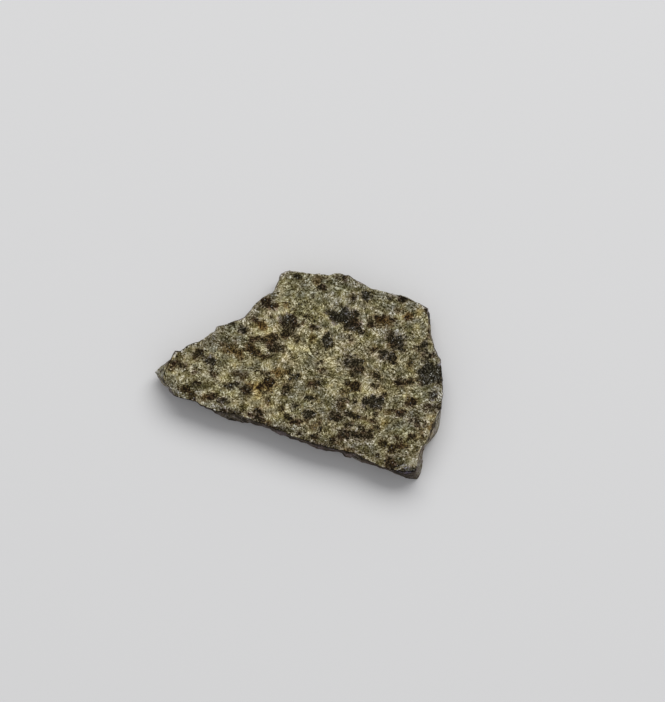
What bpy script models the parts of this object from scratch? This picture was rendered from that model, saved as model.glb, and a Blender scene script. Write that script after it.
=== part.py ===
"""A thin sawn slice of Martian shergottite, lying on its flat underside.

The real piece was cut from a larger stone with a diamond saw, so it has two flat, parallel sawn faces. The
thin side all round is broken rock: shallow scoops and ledges, a chipped rim and a slanting foot. It is one
solid. Metres, +Z up, origin on the table under the middle of the slice.
"""

import math

import bmesh
import bpy
import numpy as np

# Driving dimensions
SLICE_LENGTH = 0.0170  # left tip to the bulge of the right side
SLICE_THICKNESS = 0.0016  # between the two sawn faces
MM = 0.001

# The outline below was read by eye from a view from above, in steps of that view.
VIEW_ELEVATION = math.radians(84)  # how steeply the view looks down on the slice
OUTLINE_LEFT, OUTLINE_RIGHT = 154.0, 442.8
OUTLINE_MIDDLE = (298.4, 374.4)
STEP = SLICE_LENGTH / (OUTLINE_RIGHT - OUTLINE_LEFT)

# Corners of the broken side, clockwise from the left tip: x, y, and how far inside this silhouette lie the
# rim of the upper sawn face and the foot on the table.
OUTLINE = (
    # left tip and the long break along the upper left
    (154, 372, 11, 3), (158, 368.5, 8, 4), (163, 364.2, 5, 5), (168, 360, 2, 6), (170.5, 358.5, 1, 6),
    (172, 353.5, 1.5, 6), (175, 350.5, 2, 6), (180, 349.8, 1, 6), (188, 345, 1, 6), (191, 343, 1, 5),
    (200, 340.3, 0.6, 5), (204, 337.5, 0.6, 5), (214, 330.8, 0.6, 5), (216, 327, 0.6, 5),
    (219, 325.3, 0.6, 5), (224, 324.6, 0.6, 6), (230, 320.8, 0.6, 6), (239, 319, 0.6, 6),
    (243, 316.8, 0.6, 6), (252, 307.5, 0.6, 7), (256, 303, 0.6, 7), (264, 296, 0.6, 7),
    (271.5, 292.5, 0.6, 6), (275.5, 286, 0.6, 5), (279.5, 276.5, 1, 5), (282, 273, 1, 5), (286, 271, 1, 5),
    # top edge
    (289.5, 269.8, 1, 5), (293, 271, 0.6, 5), (303, 271.6, 0.6, 5), (314, 273, 0.6, 5), (327, 274.3, 0.6, 5),
    (333, 273, 0.6, 6), (338, 272.5, 0.6, 6), (344, 274.3, 0.6, 6), (349, 275.3, 0.6, 6),
    (353, 278.3, 0.6, 6), (358, 281, 0.6, 5), (369, 287, 0.6, 4), (373, 289.3, 0.6, 4), (384, 292, 0.6, 5),
    (396, 294.6, 0.6, 5), (402, 295, 0.6, 5), (408, 296.8, 0.6, 4), (418, 302, 0.6, 4),
    # right side
    (429, 308, 1.2, 3), (429.6, 314, 2, 3), (430.2, 322, 2, 3), (431, 331, 1.5, 3), (432.7, 340, 1.5, 3),
    (435.2, 348, 1, 3), (438.2, 354, 1, 4), (440.2, 361, 1, 4), (441.7, 368, 0.8, 4), (442.2, 378, 0.8, 4),
    (442.8, 386, 0.8, 4), (442.5, 395, 0.8, 3), (441.7, 402, 0.8, 2), (440.6, 408, 1, 1),
    (440.8, 414, 3, 0), (440.2, 420, 4.5, 0), (438.6, 428, 5.5, 0), (435.5, 434, 5, 0), (431, 439.5, 3, 0),
    (427, 443.5, 2.5, 0), (424, 448, 3, 0), (422.6, 452, 3, 0), (422.5, 458, 4.5, 0), (421.6, 465, 5.5, 0),
    # lower right corner
    (421, 471, 6, 0), (419, 476, 9, 0), (417, 479, 11, 0), (414, 478.6, 9, 0), (409, 477.2, 8, 0),
    # long break along the bottom
    (402, 475, 5.5, 0), (396, 472.5, 3.5, 0), (389, 469.7, 2, 1), (383, 467.2, 2, 1), (376, 464.3, 2, 1),
    (369, 463, 3.5, 1), (362, 461.4, 5, 0), (355, 458.6, 5, 0), (350, 457.6, 5.5, 0), (345, 455.4, 5, 0),
    (340, 451.5, 3, 1), (332, 451, 4, 1), (325, 450, 4.5, 1), (318, 448.5, 4.5, 1), (311, 446, 3.5, 1),
    (304, 442.7, 2.5, 1), (297, 440.2, 2.5, 2), (290, 438, 2.5, 2), (282, 435, 3.5, 2), (275, 432.5, 4, 1),
    (269, 428.8, 3, 1), (262, 426.3, 4, 1), (256, 425.2, 5, 1), (250, 423.2, 5.5, 1), (243, 422.5, 6.5, 1),
    (236, 421, 7, 1), (229, 420, 7.5, 1), (224, 417, 6, 1), (220, 415, 4, 1), (214, 412.5, 3, 2),
    (208, 409.6, 2, 3), (203, 406.7, 1, 4), (197, 403.6, 1, 4), (190, 400.3, 1, 4), (183, 399.2, 1, 4),
    (177, 397.2, 1, 4), (173, 395, 1.5, 3), (170, 390.7, 2, 3), (166, 386.7, 2.5, 3), (162, 382.5, 3.5, 2),
    (159, 379, 5, 2), (156.5, 375.3, 8, 2),
)

# Broken side
LONGEST_FACET = 3.2  # along the outline, in the view's steps
TURN_OVER = 7.0  # how far along the outline a corner turns the side's direction, in the view's steps
RING_HEIGHTS = (0, 0.035, 0.12, 0.22, 0.32, 0.42, 0.52, 0.62, 0.72, 0.82, 0.91, 0.975, 1)  # foot to rim
LOWEST_BELLY, BELLY_RISE = 0.16, 0.66  # height of the widest line, as shares of the thickness
WALL_BOW = 1.7  # power of the curve from the widest line in to the rim and the foot
SCOOPS = ((1.30, 0.26, 11), (0.62, 0.09, 12))  # across, deep in mm, and seed
SCOOP_SQUASH = 1.25  # scoops are this much longer than they are high
GRAIN_SIZE, GRAIN_DEPTH, GRAIN_SEED = 0.42, 0.030, 13  # mm
RIM_RELIEF = 0.28  # share of the relief that reaches the rim and the foot

STONE_COLOUR = (0.135, 0.117, 0.070, 1)


def lattice_random(cells, seed):
    """One number from 0 to 1 for each whole-number cell, always the same one for the same cell and seed."""
    x, y, z = (cells[..., axis].astype(np.int64) for axis in range(3))
    mixed = (x * 73856093) ^ (y * 19349663) ^ (z * 83492791) ^ (seed * 2654435761)
    mixed = (mixed ^ (mixed >> 13)) * 1274126177 & 0xFFFFFFFF
    mixed = (mixed ^ (mixed >> 16)) * 2246822519 & 0xFFFFFFFF
    return ((mixed ^ (mixed >> 15)) & 0xFFFFFF) / float(0x1000000)


def smooth_noise(points, seed):
    """Noise from -1 to 1: random values at whole-number corners, blended smoothly between them."""
    cell = np.floor(points)
    part = points - cell
    blend = part * part * (3 - 2 * part)
    total = np.zeros(points.shape[:-1])
    for corner in np.ndindex(2, 2, 2):
        share = np.prod(np.where(corner, blend, 1 - blend), axis=-1)
        total += share * lattice_random(cell + corner, seed)
    return 2 * total - 1


def scoop_depth(points, seed):
    """How deep a scoop lies here, from 0 on the ridges to 1: each cell holds one scoop, round its own centre."""
    cell = np.floor(points)
    nearest = np.full(points.shape[:-1], 9.0)
    for step in np.ndindex(3, 3, 3):
        other = cell + step - 1
        centre = other + np.stack([lattice_random(other, seed + axis * 101) for axis in range(3)], axis=-1)
        nearest = np.minimum(nearest, ((points - centre) ** 2).sum(-1))
    return np.clip(1 - nearest, 0, 1)


def broken_relief(points):
    """Depth in metres of the broken surface at these points: large scoops, small scoops and loose grain."""
    millimetres = points / MM * (1, 1, SCOOP_SQUASH)
    depth = sum(deep * scoop_depth(millimetres / across, seed) for across, deep, seed in SCOOPS)
    depth = depth + GRAIN_DEPTH * smooth_noise(millimetres / GRAIN_SIZE, GRAIN_SEED)
    return depth * MM


def traced_outline():
    """Rows of x, y, rim and foot, with each stretch between two corners split evenly into short facets."""
    corners = np.array(OUTLINE, float)
    rows = []
    for start, end in zip(corners, np.roll(corners, -1, axis=0)):
        pieces = math.ceil(math.dist(start[:2], end[:2]) / LONGEST_FACET)
        rows += [start + (end - start) * k / pieces for k in range(pieces)]
    return np.array(rows)


def inward(outline):
    """Unit vectors into the slice, each the average over the stretch around its point, so corners turn gently."""
    ahead = np.roll(outline, -1, axis=0) - outline
    length = np.hypot(*ahead.T)
    place = np.concatenate([[0], np.cumsum(length)[:-1]])
    gap = np.abs(place[:, None] - place[None, :])
    gap = np.minimum(gap, length.sum() - gap)
    weight = np.exp(-0.5 * (gap / TURN_OVER) ** 2) * length[None, :]
    run = weight @ (ahead / length[:, None])
    run /= np.hypot(*run.T)[:, None]
    return np.stack([-run[:, 1], run[:, 0]], axis=1)


def placed(outline, height):
    """Points of the view carried to the table's frame, at that height: the view leans, so height shifts them."""
    x = (outline[:, 0] - OUTLINE_MIDDLE[0]) * STEP
    up = (OUTLINE_MIDDLE[1] - outline[:, 1]) * STEP
    y = (up - height * math.cos(VIEW_ELEVATION)) / math.sin(VIEW_ELEVATION)
    return np.stack([x, y, np.broadcast_to(height, x.shape)], axis=1)


def evened(values):
    """Each value averaged with its neighbours round the loop, the near ones counting most."""
    weights = (1, 2, 3, 2, 1)
    shifted = [weight * np.roll(values, k - 2) for k, weight in enumerate(weights)]
    return sum(shifted) / sum(weights)


def side_rings():
    """The rings of the broken side, foot to rim. Each bows from the widest line in to the foot or the rim."""
    rows = traced_outline()
    silhouette, rim_inset, foot_inset = rows[:, :2], rows[:, 2], rows[:, 3]
    into_view = inward(silhouette)
    belly = LOWEST_BELLY + BELLY_RISE * foot_inset / (foot_inset + rim_inset + 1)
    widest = placed(silhouette, belly * SLICE_THICKNESS)
    rim = placed(silhouette + into_view * rim_inset[:, None], SLICE_THICKNESS)
    into = np.stack([into_view[:, 0], -into_view[:, 1], np.zeros(len(rows))], axis=1)
    foot = widest + into * (foot_inset * STEP)[:, None]
    rings, depths = [], []
    for share in RING_HEIGHTS:
        above = np.clip((share - belly) / (1 - belly), 0, 1)[:, None] ** WALL_BOW
        below = np.clip((belly - share) / belly, 0, 1)[:, None] ** WALL_BOW
        ring = widest + (rim - widest) * above + (foot - widest) * below
        ring[:, 2] = share * SLICE_THICKNESS
        rings.append(ring)
        depths.append(broken_relief(ring))
    rings, depths = np.array(rings), np.array(depths)
    reach = RIM_RELIEF + (1 - RIM_RELIEF) * np.sin(np.pi * np.array(RING_HEIGHTS))[:, None]
    bowed_in = ((rings - widest) * into).sum(-1)
    depths -= evened((depths + bowed_in / reach).min(0))  # so that the side still touches the outline
    return rings + into * (depths * reach)[..., None]


def slice_mesh(rings):
    """One closed mesh: a flat face under the foot ring, quads from ring to ring, and a flat face on the rim."""
    mesh = bmesh.new()
    made = [[mesh.verts.new(point) for point in ring] for ring in rings]
    mesh.faces.new(made[0])
    mesh.faces.new(made[-1])
    count = len(made[0])
    for lower, upper in zip(made, made[1:]):
        for k in range(count):
            following = (k + 1) % count
            mesh.faces.new((lower[k], lower[following], upper[following], upper[k]))
    bmesh.ops.recalc_face_normals(mesh, faces=mesh.faces)
    data = bpy.data.meshes.new("slice")
    mesh.to_mesh(data)
    mesh.free()
    return data


def stone_material():
    material = bpy.data.materials.new("shergottite")
    material.use_nodes = True
    surface = material.node_tree.nodes["Principled BSDF"]
    surface.inputs["Base Color"].default_value = STONE_COLOUR
    surface.inputs["Roughness"].default_value = 0.6
    surface.inputs["Metallic"].default_value = 0
    return material


def clear_scene():
    for old in list(bpy.data.objects):
        bpy.data.objects.remove(old)


def main():
    clear_scene()
    rings = side_rings()
    low, high = rings.reshape(-1, 3).min(0), rings.reshape(-1, 3).max(0)
    rings[..., :2] -= ((low + high) / 2)[:2]
    stone = bpy.data.objects.new("stone_slice", slice_mesh(rings))
    stone.data.materials.append(stone_material())
    bpy.context.scene.collection.objects.link(stone)


main()
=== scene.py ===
# %% [markdown]
# # A sawn slice of Martian shergottite
#
# This lesson dresses a thin slice of a meteorite: volcanic rock, thrown off Mars and cut with a diamond saw.
# The slice is one stone, 17 mm long and 1.6 mm thick. It has two flat sawn faces, and its thin side all round
# is broken rock. The plain solid is loaded first and is never changed. It only tells us where the stone is.

# %% Load the solid that the finished stone will stand for
import math

import bpy
import numpy as np
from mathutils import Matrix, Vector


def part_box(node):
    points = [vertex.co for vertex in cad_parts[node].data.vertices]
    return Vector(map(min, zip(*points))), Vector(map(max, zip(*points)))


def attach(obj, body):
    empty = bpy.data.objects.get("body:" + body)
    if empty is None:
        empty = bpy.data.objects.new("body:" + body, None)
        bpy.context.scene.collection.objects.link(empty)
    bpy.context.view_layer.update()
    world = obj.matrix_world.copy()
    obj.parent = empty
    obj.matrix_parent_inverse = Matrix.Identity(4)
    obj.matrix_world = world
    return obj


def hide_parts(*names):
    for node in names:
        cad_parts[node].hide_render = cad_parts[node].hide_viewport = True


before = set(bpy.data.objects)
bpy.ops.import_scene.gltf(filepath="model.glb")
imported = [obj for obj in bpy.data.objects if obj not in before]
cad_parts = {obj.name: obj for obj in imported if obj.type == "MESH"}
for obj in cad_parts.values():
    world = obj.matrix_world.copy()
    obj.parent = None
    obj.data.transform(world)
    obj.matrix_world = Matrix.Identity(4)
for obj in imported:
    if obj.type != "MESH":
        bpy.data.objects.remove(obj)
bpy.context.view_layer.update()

STONE = "stone_slice"
MM = 0.001
SLICE_LENGTH = 17.0 * MM
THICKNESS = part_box(STONE)[1].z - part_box(STONE)[0].z

# %% [markdown]
# ## The view
#
# The camera comes first, because every place on the stone was read from one view, looking down 6 degrees off
# the vertical. Places in that view are counted in its own steps, from its upper left corner. A very long lens
# keeps the edges parallel, as they are when a small thing is seen from far away.

# %% From the view's steps to metres on the table
VIEW_WIDTH, VIEW_HEIGHT = 665, 702
VIEW_ELEVATION = math.radians(84)
OUTLINE_LEFT, OUTLINE_RIGHT = 154.0, 442.8
OUTLINE_MIDDLE = (298.4, 374.4)
STEP = SLICE_LENGTH / (OUTLINE_RIGHT - OUTLINE_LEFT)


def placed(outline, height):
    """Carries points of the view to the table's frame, at a height.

    x is the steps to the right of the middle. y is the steps up, less what height adds in a leaning view
    (height times the cosine of the elevation), divided by the elevation's sine.
    """
    x = (outline[..., 0] - OUTLINE_MIDDLE[0]) * STEP
    up = (OUTLINE_MIDDLE[1] - outline[..., 1]) * STEP
    y = (up - height * math.cos(VIEW_ELEVATION)) / math.sin(VIEW_ELEVATION)
    return np.stack([x, y, np.broadcast_to(height, x.shape)], axis=-1)


print("one step of the view is", round(STEP / MM, 4), "mm")

# %% [markdown]
# ## The outline of the break
#
# Each corner of the broken side is one row of the outline. The first two numbers are its place in
# the view. The third says how far inside the silhouette the rim of the upper face lies, and the fourth the
# foot on the table. A foot that is farther in than the rim is an overhang, and the other way round is a slope.

# %% Corners of the broken side, clockwise from the left tip: x, y, rim, foot
OUTLINE = (
    # left tip and the long break along the upper left
    (154, 372, 11, 9), (158.3, 369, 8, 8), (163.3, 364.7, 5, 6), (168.3, 360.5, 2, 6), (170.9, 358.9, 1, 6),
    (172.6, 353.8, 1.5, 6), (175.4, 351, 2, 6), (180.2, 350.4, 1, 6), (188.4, 345.8, 1, 6), (191.4, 343.9, 1, 5),
    (200.3, 341.3, 0.6, 5), (204.5, 338.4, 0.6, 5), (214.5, 331.6, 0.6, 5), (216.5, 327.4, 0.6, 5),
    (219.3, 325.9, 0.6, 5), (224.2, 325.2, 0.6, 6), (230.3, 321.4, 0.6, 6), (239.2, 319.8, 0.6, 6),
    (243.5, 317.4, 0.6, 6), (252.6, 308, 0.6, 7), (256.4, 303.4, 0.6, 7), (264.2, 296.3, 0.6, 7),
    (271.8, 292.8, 0.6, 6), (275.8, 286.1, 0.6, 5), (279.9, 276.6, 1, 5), (282.3, 273.3, 1, 5), (286.2, 271.4, 1, 5),
    # top edge
    (289.5, 269.8, 1, 5), (293, 271.4, 0.6, 5), (303, 272, 0.6, 5), (314, 273.4, 0.6, 5), (327, 274.6, 0.6, 5),
    (333, 273.6, 0.6, 6), (338, 273.3, 0.6, 6), (344, 274.8, 0.6, 6), (349, 275.7, 0.6, 6),
    (353, 278.3, 0.6, 6), (358.2, 280.6, 0.6, 5), (369.2, 286.6, 0.6, 4), (373.1, 288.9, 0.6, 4), (384, 291.8, 0.6, 5),
    (396, 294.6, 0.6, 5), (402, 295, 0.6, 5), (408, 297.3, 0.6, 4), (417.8, 302.8, 0.6, 4),
    # right side
    (428.8, 308.4, 1, 3), (429.2, 314, 1.5, 3), (429.8, 322, 1.5, 3), (430.7, 331, 1.5, 3), (432.4, 340.2, 1.5, 3),
    (435, 348.2, 1, 3), (438, 354.1, 1, 4), (440.2, 361, 1, 4), (441.7, 368, 0.8, 4), (442.2, 378, 0.8, 4),
    (442.8, 386, 0.8, 4), (442.5, 395, 0.8, 3), (441.7, 402, 0.8, 2), (440.7, 408, 1, 1),
    (441, 414, 4.5, 0), (440.6, 420.2, 6.5, 0), (439.2, 428.3, 7.5, 0), (436.1, 434.4, 7, 0), (431.6, 440, 4.5, 0),
    (427.5, 443.9, 2.5, 0), (424, 448, 3, 0), (422.6, 452, 3, 0), (422.5, 458, 4.5, 0), (421.8, 465, 5.5, 0),
    # lower right corner
    (421.5, 471.1, 6, 0), (419.5, 476.4, 9, 0), (417, 479, 11, 0), (414, 479, 9, 0), (409, 478.4, 8, 0),
    # long break along the bottom
    (401.8, 476.2, 6, 0), (395.7, 473.8, 4, 0), (388.6, 471.1, 2.5, 0), (382.5, 468.7, 2, 1), (375.5, 465.8, 2, 1),
    (368.6, 464.3, 3.5, 1), (361.6, 462.5, 5.5, 0), (356, 459.6, 5.5, 0), (352, 457.2, 5, 0), (350, 458.4, 6, 0),
    (345, 456.2, 5.5, 0), (340, 451.6, 3, 1), (332, 451.2, 4, 1), (325, 450, 4.5, 1), (318, 448.5, 4.5, 1),
    (311, 446, 3.5, 1), (304.2, 442.4, 2.5, 1), (297.2, 439.9, 2.5, 2), (290.2, 437.7, 2.5, 2), (282, 435, 3.5, 2),
    (275, 432.7, 4, 1), (269, 429, 3, 1), (262, 426.4, 4, 1), (256, 425.3, 5, 1), (250, 423.4, 5.5, 1),
    (243, 422.7, 6.5, 1), (236, 421.2, 7, 1), (229, 420.2, 7.5, 1), (224, 417.2, 6, 1), (220, 415, 4, 1),
    (214, 412.5, 3, 2), (208, 409.4, 2, 3), (203, 406.5, 1, 4), (199, 404, 1, 4), (196, 401.6, 1, 4),
    (190, 400.6, 1, 4), (183, 399.6, 1, 4), (177, 397.4, 1, 4), (173, 395, 1.5, 3), (170, 390.7, 2, 3),
    (166, 386.7, 2.5, 5), (162, 382.5, 3.5, 7), (159, 379, 5, 8), (156.5, 375.3, 8, 9),
)
FOUR_CORNERS = ((154, 372), (289.5, 269.8), (429, 308), (417, 479))  # these split the outline in four sides
ACROSS, ALONG = 232, 166  # cells of each sawn face, left to right and along the two short sides


def side_of_outline(corners, start, end, count):
    """Evenly spaced rows from one corner of the outline to the next: straight between corners, by distance."""
    last = end if end > start else end + len(corners)
    stretch = corners[np.arange(start, last + 1) % len(corners)]
    distance = np.concatenate([[0], np.cumsum(np.hypot(*np.diff(stretch[:, :2], axis=0).T))])
    wanted = np.linspace(0, distance[-1], count + 1)[:-1]
    return np.stack([np.interp(wanted, distance, stretch[:, k]) for k in range(4)], axis=1)


corners = np.array(OUTLINE, float)
marks = [int(np.hypot(*(corners[:, :2] - corner).T).argmin()) for corner in FOUR_CORNERS]
counts = (ALONG, ACROSS, ALONG, ACROSS)
rows = np.concatenate([
    side_of_outline(corners, start, end, count)
    for start, end, count in zip(marks, marks[1:] + marks[:1], counts)
])
print(len(OUTLINE), "corners became", len(rows), "columns round the side")

# %% [markdown]
# ## Rock breaks in scoops
#
# A fine hard rock breaks in shallow shells, large and small. Each scoop is a bowl round a random centre, and
# where two bowls meet they leave a sharp ridge. Ordinary smooth noise would look like melted wax instead. The
# random values come from mixing the whole-number cell's own coordinates, so they are the same on every run.


# %% Scoops and grain, worked out for whole arrays of points
def lattice_random(cells, seed):
    """One number from 0 to 1 for each whole-number cell, always the same one for the same cell and seed."""
    x, y, z = (cells[..., axis].astype(np.int64) for axis in range(3))
    mixed = (x * 73856093) ^ (y * 19349663) ^ (z * 83492791) ^ (seed * 2654435761)
    mixed = (mixed ^ (mixed >> 13)) * 1274126177 & 0xFFFFFFFF
    mixed = (mixed ^ (mixed >> 16)) * 2246822519 & 0xFFFFFFFF
    return ((mixed ^ (mixed >> 15)) & 0xFFFFFF) / float(0x1000000)


def smooth_noise(points, seed):
    """Noise from -1 to 1: random values at whole-number corners, blended by 3t^2 - 2t^3 between them."""
    cell = np.floor(points)
    part = points - cell
    blend = part * part * (3 - 2 * part)
    total = np.zeros(points.shape[:-1])
    for corner in np.ndindex(2, 2, 2):
        share = np.prod(np.where(corner, blend, 1 - blend), axis=-1)
        total += share * lattice_random(cell + corner, seed)
    return 2 * total - 1


def scoop_depth(points, seed):
    """1 less the squared distance to the nearest random centre, one centre to a cell: 0 on the ridges."""
    cell = np.floor(points)
    nearest = np.full(points.shape[:-1], 9.0)
    for step in np.ndindex(3, 3, 3):
        other = cell + step - 1
        centre = other + np.stack([lattice_random(other, seed + axis * 101) for axis in range(3)], axis=-1)
        nearest = np.minimum(nearest, ((points - centre) ** 2).sum(-1))
    return np.clip(1 - nearest, 0, 1)


SCOOPS = ((1.30, 0.26, 11), (0.62, 0.09, 12))  # across, deep in mm, and seed
SCOOP_SQUASH = 1.25  # scoops are this much longer than they are high
GRAINS = ((0.42, 0.030, 13), (0.17, 0.016, 14), (0.08, 0.009, 15))  # across, deep in mm, and seed


def broken_relief(points):
    """Depth in metres of the broken surface at these points: each scoop size and each grain size added up."""
    millimetres = points / MM * (1, 1, SCOOP_SQUASH)
    depth = sum(deep * scoop_depth(millimetres / across, seed) for across, deep, seed in SCOOPS)
    depth = depth + sum(deep * smooth_noise(millimetres / across, seed) for across, deep, seed in GRAINS)
    return depth * MM


print("scoops across, in mm:", [across for across, _, _ in SCOOPS])

# %% [markdown]
# ## The broken side
#
# The side is a surface of two parameters: one runs round the outline, the other from the foot up to the rim.
# At each place it leaves the foot, bows out to its widest line, and bows back in to the rim, and the scoops
# are then pressed into it. Its widest line is the silhouette that was traced, so the outline stays true.

# %% The side as rings, from the foot to the rim
TURN_OVER = 7.0  # how far along the outline a corner turns the side's direction
RING_SHARES = np.sin(np.linspace(-1, 1, 28) * math.pi / 2) * 0.5 + 0.5  # closer near the foot and the rim
LOWEST_BELLY, BELLY_RISE = 0.16, 0.66  # height of the widest line, as shares of the thickness
WALL_BOW = 1.7  # power of the curve from the widest line in to the rim and the foot
RIM_RELIEF = 0.28  # share of the relief that reaches the rim and the foot
RAGGED = ((5.0, 0.55, 21), (2.4, 0.35, 22))  # small notches of the outline: steps across, steps deep, seed


def inward(outline):
    """Unit vectors into the slice: the outline's direction averaged by a bell curve, turned a quarter."""
    ahead = np.roll(outline, -1, axis=0) - outline
    length = np.hypot(*ahead.T)
    place = np.concatenate([[0], np.cumsum(length)[:-1]])
    gap = np.abs(place[:, None] - place[None, :])
    gap = np.minimum(gap, length.sum() - gap)
    weight = np.exp(-0.5 * (gap / TURN_OVER) ** 2) * length[None, :]
    run = weight @ (ahead / length[:, None])
    run /= np.hypot(*run.T)[:, None]
    return np.stack([-run[:, 1], run[:, 0]], axis=1)


def notched(outline, into):
    """The outline moved in and out by small smooth noise, so that no stretch of it is ruler straight."""
    flat = np.concatenate([outline, np.zeros((len(outline), 1))], axis=1)
    depth = sum(deep * smooth_noise(flat / across, seed) for across, deep, seed in RAGGED)
    return outline + into * depth[:, None]


def evened(values, reach):
    """Each value averaged with its neighbours round the loop, the near ones counting most."""
    weights = 1 + reach - np.abs(np.arange(-reach, reach + 1))
    return sum(w * np.roll(values, k - reach) for k, w in enumerate(weights)) / weights.sum()


def side_rings():
    """Rings of points, foot to rim.

    A ring is the widest line, plus the way to the rim times the share of the way up raised to a power, or
    the way to the foot times the share of the way down, plus the relief. The relief of each column is moved
    as a whole until the column touches the traced outline.
    """
    silhouette, rim_inset, foot_inset = rows[:, :2], rows[:, 2], rows[:, 3]
    into_view = inward(silhouette)
    silhouette = notched(silhouette, into_view)
    belly = LOWEST_BELLY + BELLY_RISE * foot_inset / (foot_inset + rim_inset + 1)
    widest = placed(silhouette, belly * THICKNESS)
    rim = placed(silhouette + into_view * rim_inset[:, None], THICKNESS)
    into = np.stack([into_view[:, 0], -into_view[:, 1], np.zeros(len(rows))], axis=1)
    foot = widest + into * (foot_inset * STEP)[:, None]
    share = RING_SHARES[:, None]
    above = np.clip((share - belly) / (1 - belly), 0, 1)[..., None] ** WALL_BOW
    below = np.clip((belly - share) / belly, 0, 1)[..., None] ** WALL_BOW
    rings = widest + (rim - widest) * above + (foot - widest) * below
    rings[..., 2] = share * THICKNESS
    depth = broken_relief(rings)
    reach = RIM_RELIEF + (1 - RIM_RELIEF) * np.sin(np.pi * share)
    bowed_in = ((rings - widest) * into).sum(-1)
    depth -= evened((depth + bowed_in / reach).min(0), 6)
    return rings + into * (depth * reach)[..., None]


rings = side_rings()
low, high = rings.reshape(-1, 3).min(0), rings.reshape(-1, 3).max(0)
TO_MIDDLE = np.append(((low + high) / 2)[:2], 0)
rings -= TO_MIDDLE
print("side of", rings.shape[1], "columns and", rings.shape[0], "rings, in mm:", ((high - low) / MM).round(2))

# %% [markdown]
# ## The sawn faces
#
# A flat face could be one huge polygon, but the finish needs points all over it to carry its marks. So each
# face is a patch stretched between the four sides of its rim. It is the sum of two ruled surfaces, one
# between each pair of opposite sides, less the patch of the four corners, which both have counted.


# %% Both faces and the side, joined in one closed mesh
def patch(ring):
    """A grid of points over one ring. left, top, right and bottom are its four sides, as curves.

    point(s, t) = (1-t) bottom(s) + t top(s) + (1-s) left(t) + s right(t) - the same blend of the corners.
    """
    ends = np.cumsum((0, ALONG, ACROSS, ALONG, ACROSS))
    loop = np.concatenate([ring, ring[:1]])
    left, top, right, bottom = (loop[a:b + 1] for a, b in zip(ends, ends[1:]))
    right, bottom = right[::-1], bottom[::-1]
    s = np.linspace(0, 1, ACROSS + 1)[:, None, None]
    t = np.linspace(0, 1, ALONG + 1)[None, :, None]
    ruled = (1 - t) * bottom[:, None] + t * top[:, None] + (1 - s) * left[None] + s * right[None]
    flat = (1 - s) * ((1 - t) * bottom[0] + t * top[0]) + s * ((1 - t) * bottom[-1] + t * top[-1])
    return ruled - flat


def rim_of(grid):
    """The outer loop of a grid of point numbers, in the order of the ring's columns."""
    return np.concatenate([grid[0, :-1], grid[:-1, -1], grid[-1, :0:-1], grid[:0:-1, 0]])


def quads(a, b, c, d):
    return np.stack([a, b, c, d], axis=-1).reshape(-1, 4)


def stone_mesh(rings):
    """Point numbers: the upper face's grid, then the lower face's, then the rings between foot and rim."""
    upper, lower, between = patch(rings[-1]), patch(rings[0]), rings[1:-1]
    face_points = (ACROSS + 1) * (ALONG + 1)
    top = np.arange(face_points).reshape(ACROSS + 1, ALONG + 1)
    under = top + face_points
    middle = 2 * face_points + np.arange(between.shape[0] * between.shape[1]).reshape(between.shape[:2])
    ladder = np.concatenate([rim_of(under)[None], middle, rim_of(top)[None]])
    ahead = np.roll(ladder, -1, axis=1)
    faces = np.concatenate([
        quads(top[:-1, :-1], top[1:, :-1], top[1:, 1:], top[:-1, 1:]),
        quads(under[:-1, :-1], under[:-1, 1:], under[1:, 1:], under[1:, :-1]),
        quads(ladder[:-1], ladder[1:], ahead[1:], ahead[:-1]),
    ])
    points = np.concatenate([upper.reshape(-1, 3), lower.reshape(-1, 3), between.reshape(-1, 3)])
    mesh = bpy.data.meshes.new("sawn_slice")
    mesh.from_pydata(points, [], faces)
    mesh.shade_smooth()
    mesh.set_sharp_from_angle(angle=math.radians(38))
    return mesh, points


mesh, points = stone_mesh(rings)
stone = bpy.data.objects.new("sawn_slice", mesh)
bpy.context.scene.collection.objects.link(stone)
print(len(points), "points,", 2 * len(mesh.polygons), "triangles")
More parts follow.
